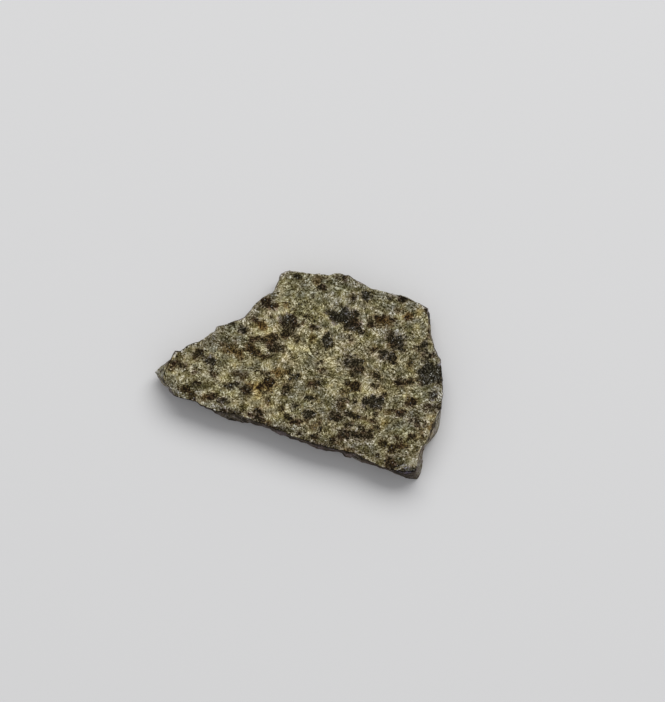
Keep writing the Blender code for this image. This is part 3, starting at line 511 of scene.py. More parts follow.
PALE_PATCHES = (
    (162, 367, 5, 5, 0), (163, 374, 2.8, 5, 0), (172, 358.5, 4.6, 2.4, 0), (174, 372.5, 3.4, 2.4, 0),
    (180, 376, 4.6, 3.4, 0), (187, 356, 3, 4, 0), (190, 367, 4, 3, 0), (190, 375, 2.6, 2.4, 0),
    (193, 361, 6.6, 4, -10), (193.5, 393.5, 3, 2.4, 0), (196, 349, 3, 1.6, 0), (199, 403, 3, 2.2, 0),
    (203.5, 392, 3, 3.4, 0), (206, 369, 3, 4, 0), (212, 355.5, 5, 1.8, 10), (224, 375, 5, 6, 0),
    (226, 383, 1.8, 3.6, 0), (228, 393, 2.8, 2.4, 0), (234, 403, 4, 3, 0), (235, 362, 6, 5, 0),
    (235, 393, 4, 2.8, 0), (236, 333, 1.8, 2.6, 0), (245, 415.5, 3.6, 2.6, 0), (248, 397, 2.8, 2, 45),
    (250, 380.5, 5, 2.6, 0), (251, 362, 4, 3, 0), (251, 401, 7, 5, 0), (253, 378, 2.8, 2.8, 0),
    (254, 329, 4, 4, 0), (257, 386, 2.4, 3, 0), (258, 387, 2, 2.6, 0), (258.5, 335.5, 3, 2.2, 0),
    (259, 357, 3, 3, 0), (261, 333, 8, 3.4, 5), (261, 336, 2.2, 2.4, 0), (263, 348, 2.2, 3.4, 0),
    (263, 355, 3.6, 3.4, 0), (264.5, 404.5, 3.4, 2.6, 0), (265, 317, 3, 2.4, 0), (265, 366, 3, 4, 0),
    (266, 300, 3.8, 2.2, 35), (269.5, 364, 4, 7, 0), (270, 324.5, 4, 2.6, 0), (270, 404, 3.6, 3.6, 0),
    (270, 420.5, 4, 2, 0), (271, 405, 4.6, 3, 0), (274, 328, 7, 4.4, 10), (275.5, 394, 2.6, 2.6, 0),
    (276, 317.5, 3, 2, 0), (277, 325, 3, 3, 0), (277, 406, 3, 3, 0), (277, 415, 6, 3.4, -10),
    (279.5, 304, 2.6, 3, 0), (281, 300, 4, 3, 0), (281, 365, 2.4, 4, 0), (281, 397, 2, 1.6, 0),
    (283, 314, 2.4, 3.2, 0), (283, 396, 3.6, 2.2, 0), (284, 281, 2.6, 4, 0), (284.5, 357, 5, 4, 0),
    (285, 290.5, 2.6, 2, 0), (287, 338, 1.6, 4.6, 0), (288, 407.5, 3.4, 3, 0), (289, 310, 3, 2, 0),
    (289, 423, 3.6, 2.6, 0), (291, 391, 2.2, 2.6, 0), (294, 294, 2.2, 2.2, 0), (295, 354, 3.8, 1.8, -15),
    (296, 348, 7.6, 5.4, 0), (300.5, 316.5, 2, 2, 0), (301, 330, 3, 2.4, 0), (302, 377, 1.8, 2.8, -30),
    (302, 405, 3, 2.4, 0), (306, 299, 1.8, 3.4, 0), (306.5, 296.5, 4.6, 1.8, 58), (307.5, 326, 3, 2, 0),
    (309, 391, 4.6, 2.4, 0), (313, 334, 3, 2, 0), (314, 392, 3, 2, 0), (317, 284, 3.6, 2.6, 0),
    (318, 359.5, 2.6, 2.6, 0), (318, 399.5, 3, 2, 0), (319, 417, 1.8, 3.6, 0), (320, 370, 2.8, 2.4, 30),
    (322, 312, 2.6, 2.2, 0), (323.5, 332, 3, 2.6, 0), (325, 289, 3.6, 1.5, 0), (326, 332, 4.6, 2.2, 0),
    (326, 393, 2, 3.2, 0), (326.5, 392, 2.4, 2.4, 0), (328, 317, 3.4, 4, 0), (328, 408.5, 2.4, 2, 0),
    (331, 300, 4.6, 3.6, 0), (331, 365, 5, 4.4, 0), (331, 433.5, 3, 2.4, 0), (332, 322, 5, 2.4, -30),
    (332, 388, 6, 6, 0), (333, 316, 1.8, 3.4, 0), (333, 380, 3.4, 2.2, 0), (335, 393, 4, 3, 0),
    (336, 314, 2.6, 3.6, 0), (338, 354, 3.6, 3, 0), (341, 294, 4, 3, 0), (341, 353, 3.6, 2, 0),
    (342, 297, 3, 4, 0), (343, 304, 4, 2, 0), (343, 425, 2.6, 3, 0), (344, 292, 4, 5, 0), (344, 394, 3, 2.4, 0),
    (345, 404, 2.2, 2.4, 0), (345.5, 305, 2, 2.6, 0), (346, 347, 3.8, 1.6, 0), (348, 296, 4.8, 1.6, -10),
    (352, 378, 2.8, 2.6, -30), (352, 428.5, 4, 2.6, 0), (352, 430, 2.6, 2, 0), (353, 409, 3.4, 2.4, 0),
    (354, 294, 5, 2, 0), (354, 411, 2, 3.6, 0), (354.5, 307.5, 3.4, 2.2, 0), (354.5, 419, 2.4, 3, 0),
    (355, 337, 3, 2, 0), (355.5, 354, 3, 2.2, 0), (360, 383, 2.8, 2.2, -30), (362, 340, 3.4, 2.2, 60),
    (364.5, 323, 2, 4.4, 0), (365, 383, 4, 7, 0), (365, 401, 3.8, 1.8, 20), (365, 422.5, 4.6, 3, 20),
    (367, 392, 3.4, 2.6, 0), (368, 329, 2.6, 2.4, 0), (370, 292, 5.4, 1.5, 0), (371, 419, 1.8, 2.2, 0),
    (372, 428, 2, 3, 0), (372, 464, 3.8, 1.4, -15), (373, 315, 2.8, 2.2, 0), (374, 316, 3.4, 2.2, 0),
    (374, 336, 6, 5, 0), (375, 356, 3, 2.4, 0), (375.5, 345, 4, 2, 0), (376, 365, 2.4, 2.2, 0),
    (382, 411, 2.4, 3, 0), (382, 418, 3, 5.4, 0), (382.5, 425, 3, 6, 0), (383, 391, 3.6, 2.4, 0),
    (384, 427, 3, 4, 0), (384, 452, 3, 3, 0), (385, 347, 4.4, 1.8, -35), (385, 453, 3.6, 3.6, 0),
    (387, 314, 3, 2.2, 0), (387, 414, 2.8, 2.2, -40), (387, 453, 3.2, 2.2, 45), (391, 330, 1.6, 2.8, 0),
    (397, 357, 2.6, 4, 0), (398, 316.5, 4, 2.6, 0), (401, 318, 4, 3.4, 0), (403, 304, 3.8, 1.8, -30),
    (403, 443, 1.8, 2.8, 0), (404, 408.5, 3, 2, 0), (404, 427, 2.8, 1.6, 30), (404.5, 396, 3.6, 3, 0),
    (408, 409.5, 4, 3, 0), (410, 436, 4.6, 1.8, 0), (411, 460, 4, 4, 0), (417, 328.5, 4, 3.6, 0),
    (417, 399, 5.4, 1.5, 5), (418, 333, 2.4, 3, 0), (419, 313, 3.6, 3.4, 0), (419, 343, 2.8, 2.4, 0),
    (420, 342, 4, 2.2, 0), (424, 339, 4.6, 2.6, 0), (426, 339, 2.6, 2.6, 0), (427, 426, 2.4, 1.8, 0),
    (428, 417, 3.6, 5, 0), (432, 436, 2.2, 3.6, 0),
)
WHITE_PATCHES = (
    (159, 372, 4, 3, 20), (162.5, 372, 4, 5, 0), (172.5, 357, 2.4, 2.4, 0), (174.5, 353.5, 2.6, 2, 0),
    (213, 356, 4, 1.4, 10), (292.5, 414, 4, 1, -45), (317.5, 325, 2.4, 1.2, -45), (329.5, 343, 1.5, 2, 0),
    (332, 322, 4, 1.8, -35), (347, 314, 1.2, 1.2, 0), (386, 356, 1, 1.6, 0), (396, 335, 1.6, 2, 0),
    (399, 331, 3.4, 2.4, 0), (404, 466, 4, 2, 10), (404, 471.5, 6, 0.8, 5), (418, 463, 2, 7, 0),
    (427, 377, 2, 1.6, 0), (434, 402.5, 4, 1.6, 0), (434.5, 387, 2, 2.4, 0), (438.5, 424, 2, 9, -10),
    (439, 363, 1.8, 2.2, 0),
)
COOL_GRAINS = (  # where black grains are blue-black instead of brown-black
    (211, 361, 8, 6, 0), (224, 402, 6, 4, 0), (232, 385, 9, 5, 0), (243, 331, 6, 4, 0), (286, 318, 4, 4, 0),
    (295, 377, 6, 4, 0), (297, 277, 6, 5, 0), (309, 415, 8, 5, 0), (310, 397, 6, 4, 0), (319, 382, 4, 4, 0),
    (327, 341, 7, 10, 0), (340, 315, 12, 8, 0), (352, 330, 14, 4, -35), (357, 362, 8, 5, 0), (366, 296, 7, 6, 0),
    (372, 402, 14, 9, 0), (386, 356, 6, 5, 0), (389, 299, 4, 4, 0), (400, 341, 5, 9, 0), (405, 469, 14, 4, 0),
    (425, 346, 6, 6, 0), (431, 374, 13, 13, 0), (434, 394, 5, 8, 0),
)
CREAM_PATCHES = (
    (264, 403, 1.8, 4, 0), (265.5, 366, 3.4, 4, 0), (275, 312, 5, 3, 0), (277.5, 317.5, 2.4, 3, 0),
    (284, 311.5, 3.2, 4.4, 0), (326.5, 319, 2.2, 3, 0), (352, 430, 2.6, 1.6, 0), (354, 308, 2.6, 1.6, 0),
    (365.5, 387, 4, 6.6, -10), (367, 391.5, 4, 3, 0), (372, 392.5, 4, 2.4, 0), (400.5, 317, 3, 3, 0),
)
GREEN_PATCHES = (  # a hue only: the ground is grey-green here
    (159, 371, 7, 7, 0), (191, 395, 5, 5, 0), (213, 352, 9, 4, 0), (228, 409, 9, 5, 0), (232, 391, 10, 6, 0),
    (233, 330, 8, 6, 0), (246, 338, 6, 6, 0), (272, 425, 9, 4, -10), (300, 286, 16, 14, 0), (300, 312, 9, 6, 0),
    (300, 403, 8, 6, 0), (312, 360, 9, 8, 0), (316, 300, 6, 5, 0), (331, 279, 10, 7, 0), (335, 400, 8, 7, 0),
    (338, 313, 7, 10, 0), (343, 290, 7, 6, 0), (349, 380, 5, 6, 0), (362, 322, 4, 9, 0), (364, 329, 9, 6, 0),
    (366, 292, 10, 7, 0), (378, 302, 9, 5, 0), (386, 321, 6, 4, 0), (395, 332, 8, 5, 0), (397, 469, 7, 4, 0),
    (399, 430, 9, 11, 0), (404, 443, 5, 4, 0), (404, 464, 10, 5, 0), (414, 475, 6, 4, 0), (420, 395, 8, 7, 0),
    (421, 309, 6, 5, 0), (434, 376, 9, 22, 0), (436, 360, 4, 8, 0),
)
WARM_PATCHES = (  # a hue only: the ground is yellower here
    (170, 367, 5, 4, 0), (190, 375, 10, 6, 0), (214, 389, 14, 7, 0), (222, 363, 12, 8, 0), (230, 381, 8, 7, 0),
    (252, 350, 10, 8, 0), (252, 400, 20, 11, 10), (268, 384, 16, 12, 0), (274, 405, 14, 11, 0),
    (282, 335, 12, 8, 0), (284, 376, 12, 8, 0), (290, 289, 9, 4, 0), (298, 362, 16, 9, 0), (300, 308, 26, 10, 0),
    (303, 345, 20, 14, 0), (305, 400, 10, 6, 0), (308, 415, 12, 7, 0), (320, 310, 8, 10, 0), (320, 368, 7, 6, 0),
    (320, 425, 14, 6, 10), (326, 338, 8, 8, 0), (330, 352, 12, 12, 0), (342, 382, 9, 9, 0), (345, 328, 6, 6, 0),
    (357, 392, 9, 12, 0), (358, 342, 10, 5, 0), (360, 361, 5, 9, 0), (370, 410, 8, 8, 0), (372, 300, 7, 7, 0),
    (372, 321, 6, 7, 0), (375, 428, 7, 11, 0), (384, 386, 16, 12, 0), (387, 445, 13, 7, 0), (400, 370, 18, 11, 0),
    (405, 437, 12, 7, 0), (410, 383, 6, 5, 0), (416, 350, 6, 5, 0), (429, 332, 4, 9, 0), (433, 370, 4, 6, 0),
)
BLUE_PATCHES = (  # a hue only: the ground is bluer here
    (160, 374, 5, 7, 0), (177, 354, 9, 5, 10), (177, 394, 10, 5, -30), (186, 374, 7, 5, 0), (196, 392, 6, 6, 0),
    (215, 332, 18, 4, 32), (225, 341, 9, 4, 0), (232, 411, 28, 6.5, -12), (242, 377, 6, 5, 0),
    (250, 418, 14, 4, -8), (268, 300, 10, 4, 35), (283, 275, 8, 5, 0), (283, 398, 6, 8, 0), (286, 325, 8, 4, 0),
    (286, 429, 12, 5, -10), (305, 434, 9, 5, -10), (305, 434, 8, 4, 0), (328, 447, 18, 6, -12),
    (335, 408, 20, 4, 0), (338, 303, 8, 11, 0), (343, 353, 7, 5, 0), (345, 432, 13, 5, 0), (346, 302, 6, 10, 0),
    (355, 286, 12, 5, -25), (360, 294, 9, 5, 0), (360, 449, 13, 9, 0), (363, 325, 15, 5, -10),
    (382, 343, 8, 5, 0), (385, 452, 5, 5, 0), (388, 312, 5, 8, 0), (388, 434, 6, 4, 0), (393, 332, 9, 6, 0),
    (395, 297, 14, 4, -15), (398, 376, 8, 6, 0), (407, 461, 13, 7, 0), (412, 413, 8, 6, 0), (420, 308, 7, 6, 0),
    (420, 367, 5, 5, 0), (437, 350, 4, 12, 0), (440, 398, 3, 18, 0),
)
RED_PATCHES = (  # a hue only: the ground is redder here
    (163, 385, 5, 6, -40), (211, 341, 12, 5, 30), (246, 398, 9, 7, 20), (253, 320, 9, 5, 35), (262, 309, 7, 5, 0),
    (262, 408, 8, 5, 0), (276, 337, 6, 10, 0), (280, 380, 9, 6, 0), (288, 361, 10, 8, 0), (300, 285, 10, 5, 0),
    (311, 362, 6, 5, 0), (334, 420, 6, 4, 0), (335, 398, 5, 6, 0), (342, 365, 5, 6, 0), (342, 451, 18, 4, -14),
    (344, 341, 4, 6, 0), (351, 329, 5, 5, 0), (358, 438, 5, 4, 0), (368, 308, 9, 5, 0), (369, 375, 7, 5, 0),
    (372, 405, 5, 3, 0), (375, 356, 10, 6, 0), (380, 392, 5, 7, 0), (385, 468, 7, 3, -15), (388, 337, 6, 3, -20),
    (394, 452, 6, 5, 0), (395, 420, 7, 4, 0), (415, 452, 7, 7, 0), (430, 432, 6, 10, 0),
)
# The paler places of the broken side: partly the rock's own paler colour, partly painted light where the side faces
# away from the lamp and lies in shade.
PALE_AND_LIT_WALLS = (  # where the broken side is paler grey
    (160, 370, 10, 8, 0), (163, 383, 10, 4, -50), (200, 340, 40, 5, 33), (240, 416.5, 12, 2, -8),
    (260, 297, 22, 5, 40), (282, 280, 4, 10, 0), (320, 272, 40, 3.4, 0), (356, 456.5, 5, 2, -20),
    (398, 294, 36, 4, -18), (419, 461, 3.5, 12, 0), (427, 443, 4, 4, 0), (431, 326, 3, 16, 0),
    (433, 434, 4, 6, 0), (437, 421, 5, 13, 0),
)


def nearest_of(grains, places):
    """Distance in mm from each point to the nearest of these ellipsoids, below 0 inside one.

    Turned and divided by its half sizes, an ellipsoid is a ball of radius 1. The distance to that ball,
    times the smallest half size, is near enough the real distance where it matters, at the surface.
    """
    nearest = np.full(len(places), 9.0)
    for x, y, long, short, turn in grains:
        middle = placed(np.array([x, y], float), THICKNESS) - TO_MIDDLE
        offset = (places - middle) / STEP
        c, s = math.cos(math.radians(turn)), math.sin(math.radians(turn))
        along = (offset[:, 0] * c + offset[:, 1] * s) / long
        across = (offset[:, 1] * c - offset[:, 0] * s) / short
        down = offset[:, 2] / (0.5 * (long + short))
        radius = np.sqrt(along ** 2 + across ** 2 + down ** 2)
        nearest = np.minimum(nearest, (radius - 1) * min(long, short) * STEP / MM)
    return nearest


WARPS = ((0.40, 0.05, 31), (0.20, 0.035, 41))  # grain outlines are bent by this noise: mm across, mm far, seed


def bent(places):
    """The points moved by smooth noise in all three directions, so that no grain keeps an oval outline."""
    moved = places.copy()
    for across, far, seed in WARPS:
        for axis in range(3):
            moved[:, axis] += far * MM * smooth_noise(places / MM / across, seed + axis)
    return moved


def carry(mesh, name, values):
    """Stores one number for each point of the mesh, for the finish to read."""
    mesh.attributes.new(name, "FLOAT", "POINT").data.foreach_set("value", values.astype(np.float32))


bent_points = bent(points)
for name, grains in (("black", BLACK_GRAINS), ("brown", BROWN_GRAINS), ("olive", OLIVE_GRAINS),
                     ("grey", GREY_GRAINS), ("rust", RUST_STAINS), ("pale", PALE_PATCHES),
                     ("white", WHITE_PATCHES), ("cream", CREAM_PATCHES), ("green", GREEN_PATCHES),
                     ("cool", COOL_GRAINS), ("pale_and_lit_wall", PALE_AND_LIT_WALLS), ("warm", WARM_PATCHES),
                     ("blue", BLUE_PATCHES), ("red", RED_PATCHES)):
    flat = name in ("green", "pale_and_lit_wall", "warm", "blue", "red")  # these go straight down through the stone
    distance = nearest_of(grains, bent_points * (1, 1, 0) + (0, 0, THICKNESS) if flat else bent_points)
    carry(mesh, name, distance)
    print(name, "covers", round(100 * (distance[:(ACROSS + 1) * (ALONG + 1)] < 0).mean(), 1), "% of the face")

# %% Where the rock is sawn and where it is broken
SAWN_FADE = 0.10  # mm below the upper rim or above the foot over which a sawn face gives way to the break
height = points[:, 2] / MM
depth_below_faces = np.minimum(height, THICKNESS / MM - height)
carry(mesh, "broken", np.clip(depth_below_faces / SAWN_FADE, 0, 1))
carry(mesh, "upper", np.clip(1 - (THICKNESS / MM - height) / 0.35, 0, 1))

# %% [markdown]
# ## The finish, written as arithmetic
#
# A rock finish is a sum of many small things, so the node tree is written as a sum too. A small helper adds
# one node a call and hands back its output, and the finish then reads like a formula. All patterns read
# Object coordinates in millimetres, so that sizes in the finish are sizes on the stone.


# %% A helper that writes node trees
class Recipe:
    """One material's node tree. Each method adds a node and returns its output socket."""

    def __init__(self, name):
        self.material = bpy.data.materials.new(name)
        self.material.use_nodes = True
        self.tree = self.material.node_tree
        self.surface = self.tree.nodes["Principled BSDF"]
        coordinates = self.tree.nodes.new("ShaderNodeTexCoord")
        self.place = self.vector("MULTIPLY", coordinates.outputs["Object"], (1 / MM, 1 / MM, 1 / MM))

    def add(self, kind, inputs, **settings):
        node = self.tree.nodes.new(kind)
        for name, value in settings.items():
            setattr(node, name, value)
        for name, value in inputs.items():
            if isinstance(value, bpy.types.NodeSocket):
                self.tree.links.new(value, node.inputs[name])
            else:
                node.inputs[name].default_value = value
        return node

    def vector(self, operation, a, b):
        return self.add("ShaderNodeVectorMath", {0: a, 1: b}, operation=operation).outputs[0]

    def math(self, operation, a, b=0.0, clamp=False):
        return self.add("ShaderNodeMath", {0: a, 1: b}, operation=operation, use_clamp=clamp).outputs[0]

    def total(self, *terms):
        result = terms[0]
        for term in terms[1:]:
            result = self.math("ADD", result, term)
        return result

    def ramp(self, value, low, high, to_low=0.0, to_high=1.0, smooth=True):
        """value carried from the range low-high to to_low-to_high, held at the ends."""
        inputs = {"Value": value, "From Min": low, "From Max": high, "To Min": to_low, "To Max": to_high}
        kind = "SMOOTHSTEP" if smooth else "LINEAR"
        return self.add("ShaderNodeMapRange", inputs, interpolation_type=kind).outputs[0]

    def noise(self, across, detail=1.0, moved=0.0, rough=0.5, bend=0.0):
        """Smooth noise from about -1 to 1, with bumps this many mm across."""
        place = self.vector("ADD", self.place, (moved, moved * 1.7, moved * 2.3))
        inputs = {"Vector": place, "Scale": 1 / across, "Detail": detail, "Roughness": rough, "Distortion": bend}
        made = self.add("ShaderNodeTexNoise", inputs).outputs["Fac"]
        return self.math("MULTIPLY", self.math("SUBTRACT", made, 0.5), 2.0)

    def specks(self, size, turn=(0, 0, 0), moved=0.0, shape="F1"):
        """Random specks: distance to the nearest speck's middle, in parts of its size, and its own colour."""
        inputs = {"Vector": self.place, "Location": (moved, moved, moved), "Rotation": turn, "Scale": size}
        turned = self.add("ShaderNodeMapping", inputs, vector_type="TEXTURE").outputs[0]
        node = self.add("ShaderNodeTexVoronoi", {"Vector": turned, "Scale": 1.0}, feature=shape)
        return node.outputs["Distance"], self.add("ShaderNodeSeparateColor", {0: node.outputs["Color"]})

    def streaks(self, crystal, long, wide, moved=0.0):
        """Crystals this many mm across, each filled with streaks that lie its own way: streak tone, own colour."""
        place = self.vector("ADD", self.place, (moved, moved, moved))
        cells = self.add("ShaderNodeTexVoronoi", {"Vector": place, "Scale": 1 / crystal})
        own = self.add("ShaderNodeSeparateColor", {0: cells.outputs["Color"]})
        angle = self.math("MULTIPLY", own.outputs[0], 2 * math.pi)
        turned = self.add("ShaderNodeVectorRotate", {"Vector": place, "Angle": angle}, rotation_type="Z_AXIS")
        stretched = self.vector("MULTIPLY", turned.outputs[0], (1 / long, 1 / wide, 1 / wide))
        made = self.add("ShaderNodeTexNoise", {"Vector": stretched, "Scale": 1.0, "Detail": 1.0}).outputs["Fac"]
        return self.math("MULTIPLY", self.math("SUBTRACT", made, 0.5), 2.0), own

    def carried(self, name):
        return self.add("ShaderNodeAttribute", {}, attribute_name=name).outputs["Fac"]

    def mix(self, share, a, b):
        """Colour a where share is 0, colour b where it is 1."""
        node = self.add("ShaderNodeMix", {0: share}, data_type="RGBA")
        for socket, value in ((node.inputs[6], a), (node.inputs[7], b)):
            if isinstance(value, bpy.types.NodeSocket):
                self.tree.links.new(value, socket)
            else:
                socket.default_value = value
        return node.outputs[2]

    def tones(self, value, stops):
        """A colour for each tone from 0 to 1, blended between the stops."""
        node = self.add("ShaderNodeValToRGB", {0: value})
        ramp = node.color_ramp
        ramp.elements[0].position, ramp.elements[0].color = stops[0]
        ramp.elements[1].position, ramp.elements[1].color = stops[-1]
        for position, colour in stops[1:-1]:
            ramp.elements.new(position).color = colour
        return node.outputs["Color"]


def colour(red, green, blue):
    """A colour as a screen shows it, 0 to 255, turned into the light values that materials use."""
    parts = np.array([red, green, blue]) / 255
    light = np.where(parts <= 0.04045, parts / 12.92, ((parts + 0.055) / 1.055) ** 2.4)
    return (*light.tolist(), 1.0)


# %% [markdown]
# ## The tone of the stone
#
# Look closely and the pale part of the stone is a felt of needles 0.1 mm wide, lying in all directions, with
# darker glass and rust between them. The finish makes one number first, the tone, from 0 for black to 1 for
# cream. Broad patches, fine grain, four layers of needles and dark dots are added to it or taken away. The
# listed grains then pull the tone down to black, and at last a ramp turns tones into colours.

# %% The tone of the ground: patches, needles and the darker rock between them
stone_finish = Recipe("shergottite")
r = stone_finish

NEEDLES = (  # length and width in mm, turns round the vertical in radians, lightening
    ((0.30, 0.058, 0.058), (0.5, 1.1, 1.9, 2.8), 0.34),
    ((0.26, 0.110, 0.110), (0.1, 2.2), 0.16),
)
needles = 0.0
for size, turns, lightening in NEEDLES:
    for k, turn in enumerate(turns):
        distance, own = r.specks(size, turn=(0.3, -0.25, turn), moved=3.7 * k + 40 * size[1])
        body = r.math("MULTIPLY", r.ramp(distance, 0.60, 0.22), r.ramp(own.outputs[0], 0.40, 0.95, smooth=False))
        needles = r.math("MAXIMUM", needles, r.math("MULTIPLY", body, lightening))

BUNDLES = ((0.60, 0.36, 0.078, 0.66, 0.14), (0.34, 0.20, 0.050, 0.78, 0.12))  # crystal, streak long, wide, by streak, by crystal
bundles = 0.0
crystal_chance = 0.0
for k, (crystal, long, wide, by_streak, by_crystal) in enumerate(BUNDLES):
    streak, own = r.streaks(crystal, long, wide, moved=4.0 + 7.0 * k)
    bundles = r.total(
        bundles,
        r.math("MULTIPLY", streak, by_streak),
        r.math("MULTIPLY", r.math("SUBTRACT", own.outputs[1], 0.5), by_crystal),
    )
    crystal_chance = r.math("SUBTRACT", own.outputs[2], 0.5)

gaps = r.total(
    r.math("MULTIPLY", r.ramp(r.noise(0.32, detail=2, moved=11.0), 0.02, 0.40), -0.12),
    r.math("MULTIPLY", r.ramp(r.noise(0.11, detail=2, moved=13.0), 0.04, 0.40), -0.30),
)
fine = r.noise(0.085, detail=1, moved=9.0)
ground = r.total(
    0.512,
    r.math("MULTIPLY", r.noise(1.5, detail=1, moved=2.0), 0.18),
    r.math("MULTIPLY", r.noise(0.55, detail=1, moved=5.0), 0.12),
    r.math("MULTIPLY", r.noise(0.20, detail=1, moved=8.0), 0.17),
    r.math("MULTIPLY", fine, 0.56),
    needles,
    bundles,
    gaps,
)

# %% The grains pull the tone down, and stains and patches shift it
ragged_edge = r.total(
    r.math("MULTIPLY", r.noise(0.30, detail=2, moved=21.0), 0.14),
    r.math("MULTIPLY", r.noise(0.12, detail=1, moved=23.0), 0.12),
    r.math("MULTIPLY", crystal_chance, 0.13),
)


def inside(name, soft, wider=0.0):
    """1 inside the grains carried under this name and 0 outside, over a soft edge this many mm wide."""
    edge = r.math("ADD", r.carried(name), ragged_edge)
    return r.ramp(r.math("SUBTRACT", edge, wider), soft, -soft)


black, brown, olive, grey = inside("black", 0.08), inside("brown", 0.11), inside("olive", 0.11), inside("grey", 0.12)
rust, pale, white, cream = inside("rust", 0.20), inside("pale", 0.22), inside("white", 0.10), inside("cream", 0.16)
halo = inside("black", 0.12, wider=0.10)

hidden_grains = r.ramp(r.noise(0.85, detail=2, moved=31.0, bend=0.4), 0.16, 0.30)
hidden_grains = r.math("MULTIPLY", hidden_grains, r.math("SUBTRACT", 1.0, r.carried("upper")))
black = r.math("MAXIMUM", black, hidden_grains)

grain_tone = r.total(
    0.05,
    r.math("MULTIPLY", r.noise(0.16, detail=2, moved=41.0), 0.22),
    r.math("MULTIPLY", bundles, 0.30),
    r.math("MULTIPLY", fine, 0.52),
)


# Where the broken side is paler, its tone is raised by 0.44 below: partly its own colour, partly painted light on
# sides that lie in the lamp's shade.
broken, pale_and_lit_wall = r.carried("broken"), inside("pale_and_lit_wall", 0.20)
wall_place = r.vector("MULTIPLY", r.place, (1 / 0.75, 1 / 0.75, 1 / 0.28))
lenses = r.add("ShaderNodeTexNoise", {"Vector": wall_place, "Scale": 1.0, "Detail": 1.5}).outputs["Fac"]
wall_tone = r.total(
    r.ramp(lenses, 0.34, 0.66, 0.03, 0.36),
    r.math("MULTIPLY", r.noise(0.14, detail=2, moved=43.0), 0.30),
    r.math("MULTIPLY", bundles, 0.35),
    r.math("MULTIPLY", pale_and_lit_wall, 0.44),
)


def pulled(tone, share, goal):
    """tone where share is 0, goal where it is 1."""
    return r.math("ADD", tone, r.math("MULTIPLY", share, r.math("SUBTRACT", goal, tone)))


def speckled(middle):
    """A tone around this one with the fine grit of the rock over it."""
    return r.total(middle, r.math("MULTIPLY", fine, 0.50), r.math("MULTIPLY", bundles, 0.30))


tone = pulled(ground, r.math("MULTIPLY", pale, 0.50), speckled(0.80))
tone = r.total(tone, r.math("MULTIPLY", pale, 0.10), r.math("MULTIPLY", rust, -0.05))
tone = pulled(tone, r.math("MULTIPLY", broken, 0.80), wall_tone)
tone = pulled(tone, r.math("MULTIPLY", grey, 0.56), speckled(0.24))
tone = pulled(tone, r.math("MULTIPLY", olive, 0.66), speckled(0.18))
tone = pulled(tone, r.math("MULTIPLY", brown, 0.76), speckled(0.13))
tone = pulled(tone, r.math("MULTIPLY", halo, 0.34), speckled(0.14))
tone = pulled(tone, r.math("MULTIPLY", black, 0.94), grain_tone)
tone = pulled(tone, r.math("MULTIPLY", white, 0.55), r.math("ADD", bundles, 0.78))
tone = pulled(tone, r.math("MULTIPLY", cream, 0.60), r.math("ADD", bundles, 0.80))
tone = r.math("ADD", tone, 0.0, clamp=True)

# %% The colours that the tones stand for
TONES = (
    (0.00, colour(16, 11, 1)), (0.10, colour(35, 29, 9)), (0.25, colour(66, 59, 33)),
    (0.42, colour(97, 90, 66)), (0.60, colour(125, 118, 94)), (0.78, colour(153, 147, 122)),
    (0.92, colour(181, 175, 152)), (1.00, colour(209, 204, 183)),
)
base = r.tones(tone, TONES)
yellow = r.ramp(r.total(r.math("MULTIPLY", r.noise(1.1, detail=1, moved=51.0), 0.5), r.noise(0.30, detail=1, moved=53.0)), -0.1, 0.6)
tan = r.ramp(r.total(r.math("MULTIPLY", r.noise(1.3, detail=1, moved=71.0), 0.5), r.noise(0.35, detail=1, moved=73.0)), 0.0, 0.6)
cool = r.ramp(r.total(r.math("MULTIPLY", r.noise(0.9, detail=1, moved=57.0), 0.6), r.noise(0.25, detail=1, moved=59.0)), 0.0, 0.6)


def tinted(colour_now, share, tint):
    """The colour multiplied by a tint, as far as share says."""
    node = r.add("ShaderNodeMix", {0: share}, data_type="RGBA", blend_type="MULTIPLY")
    r.tree.links.new(colour_now, node.inputs[6])
    node.inputs[7].default_value = (*tint, 1.0)
    return node.outputs[2]


base = tinted(base, r.ramp(ground, 0.55, 0.15), (1.01, 0.99, 0.69))
base = tinted(base, r.ramp(ground, 0.50, 0.80), (0.99, 1.00, 1.05))
base = tinted(base, yellow, (1.02, 1.01, 0.84))
base = tinted(base, tan, (1.05, 0.99, 0.92))
base = tinted(base, cool, (0.98, 1.00, 1.04))
base = tinted(base, rust, (1.06, 0.93, 0.66))
base = tinted(base, pale, (1.05, 1.02, 0.88))
base = tinted(base, white, (0.99, 1.00, 1.05))
base = tinted(base, brown, (1.09, 0.94, 0.88))
base = tinted(base, olive, (0.99, 1.00, 0.84))
base = tinted(base, grey, (0.94, 0.99, 1.12))
base = tinted(base, r.math("MULTIPLY", inside("green", 0.60), 0.8), (0.94, 1.00, 1.00))
warm = r.math("MULTIPLY", inside("warm", 0.50), r.math("SUBTRACT", 1.0, r.math("MULTIPLY", pale, 0.45)))
base = tinted(base, warm, (1.03, 1.00, 0.82))
base = tinted(base, inside("blue", 0.40), (0.985, 1.00, 1.20))
base = tinted(base, inside("red", 0.40), (1.03, 0.98, 1.00))
base = tinted(base, halo, (1.02, 0.98, 1.0))
cool_black = r.math("MULTIPLY", black, inside("cool", 0.3))
red_black = r.math("MULTIPLY", r.math("SUBTRACT", black, cool_black), r.ramp(r.noise(0.45, detail=1, moved=77.0), -0.1, 0.3))
base = tinted(base, black, (1.0, 1.0, 1.25))
base = tinted(base, red_black, (1.14, 0.94, 0.95))
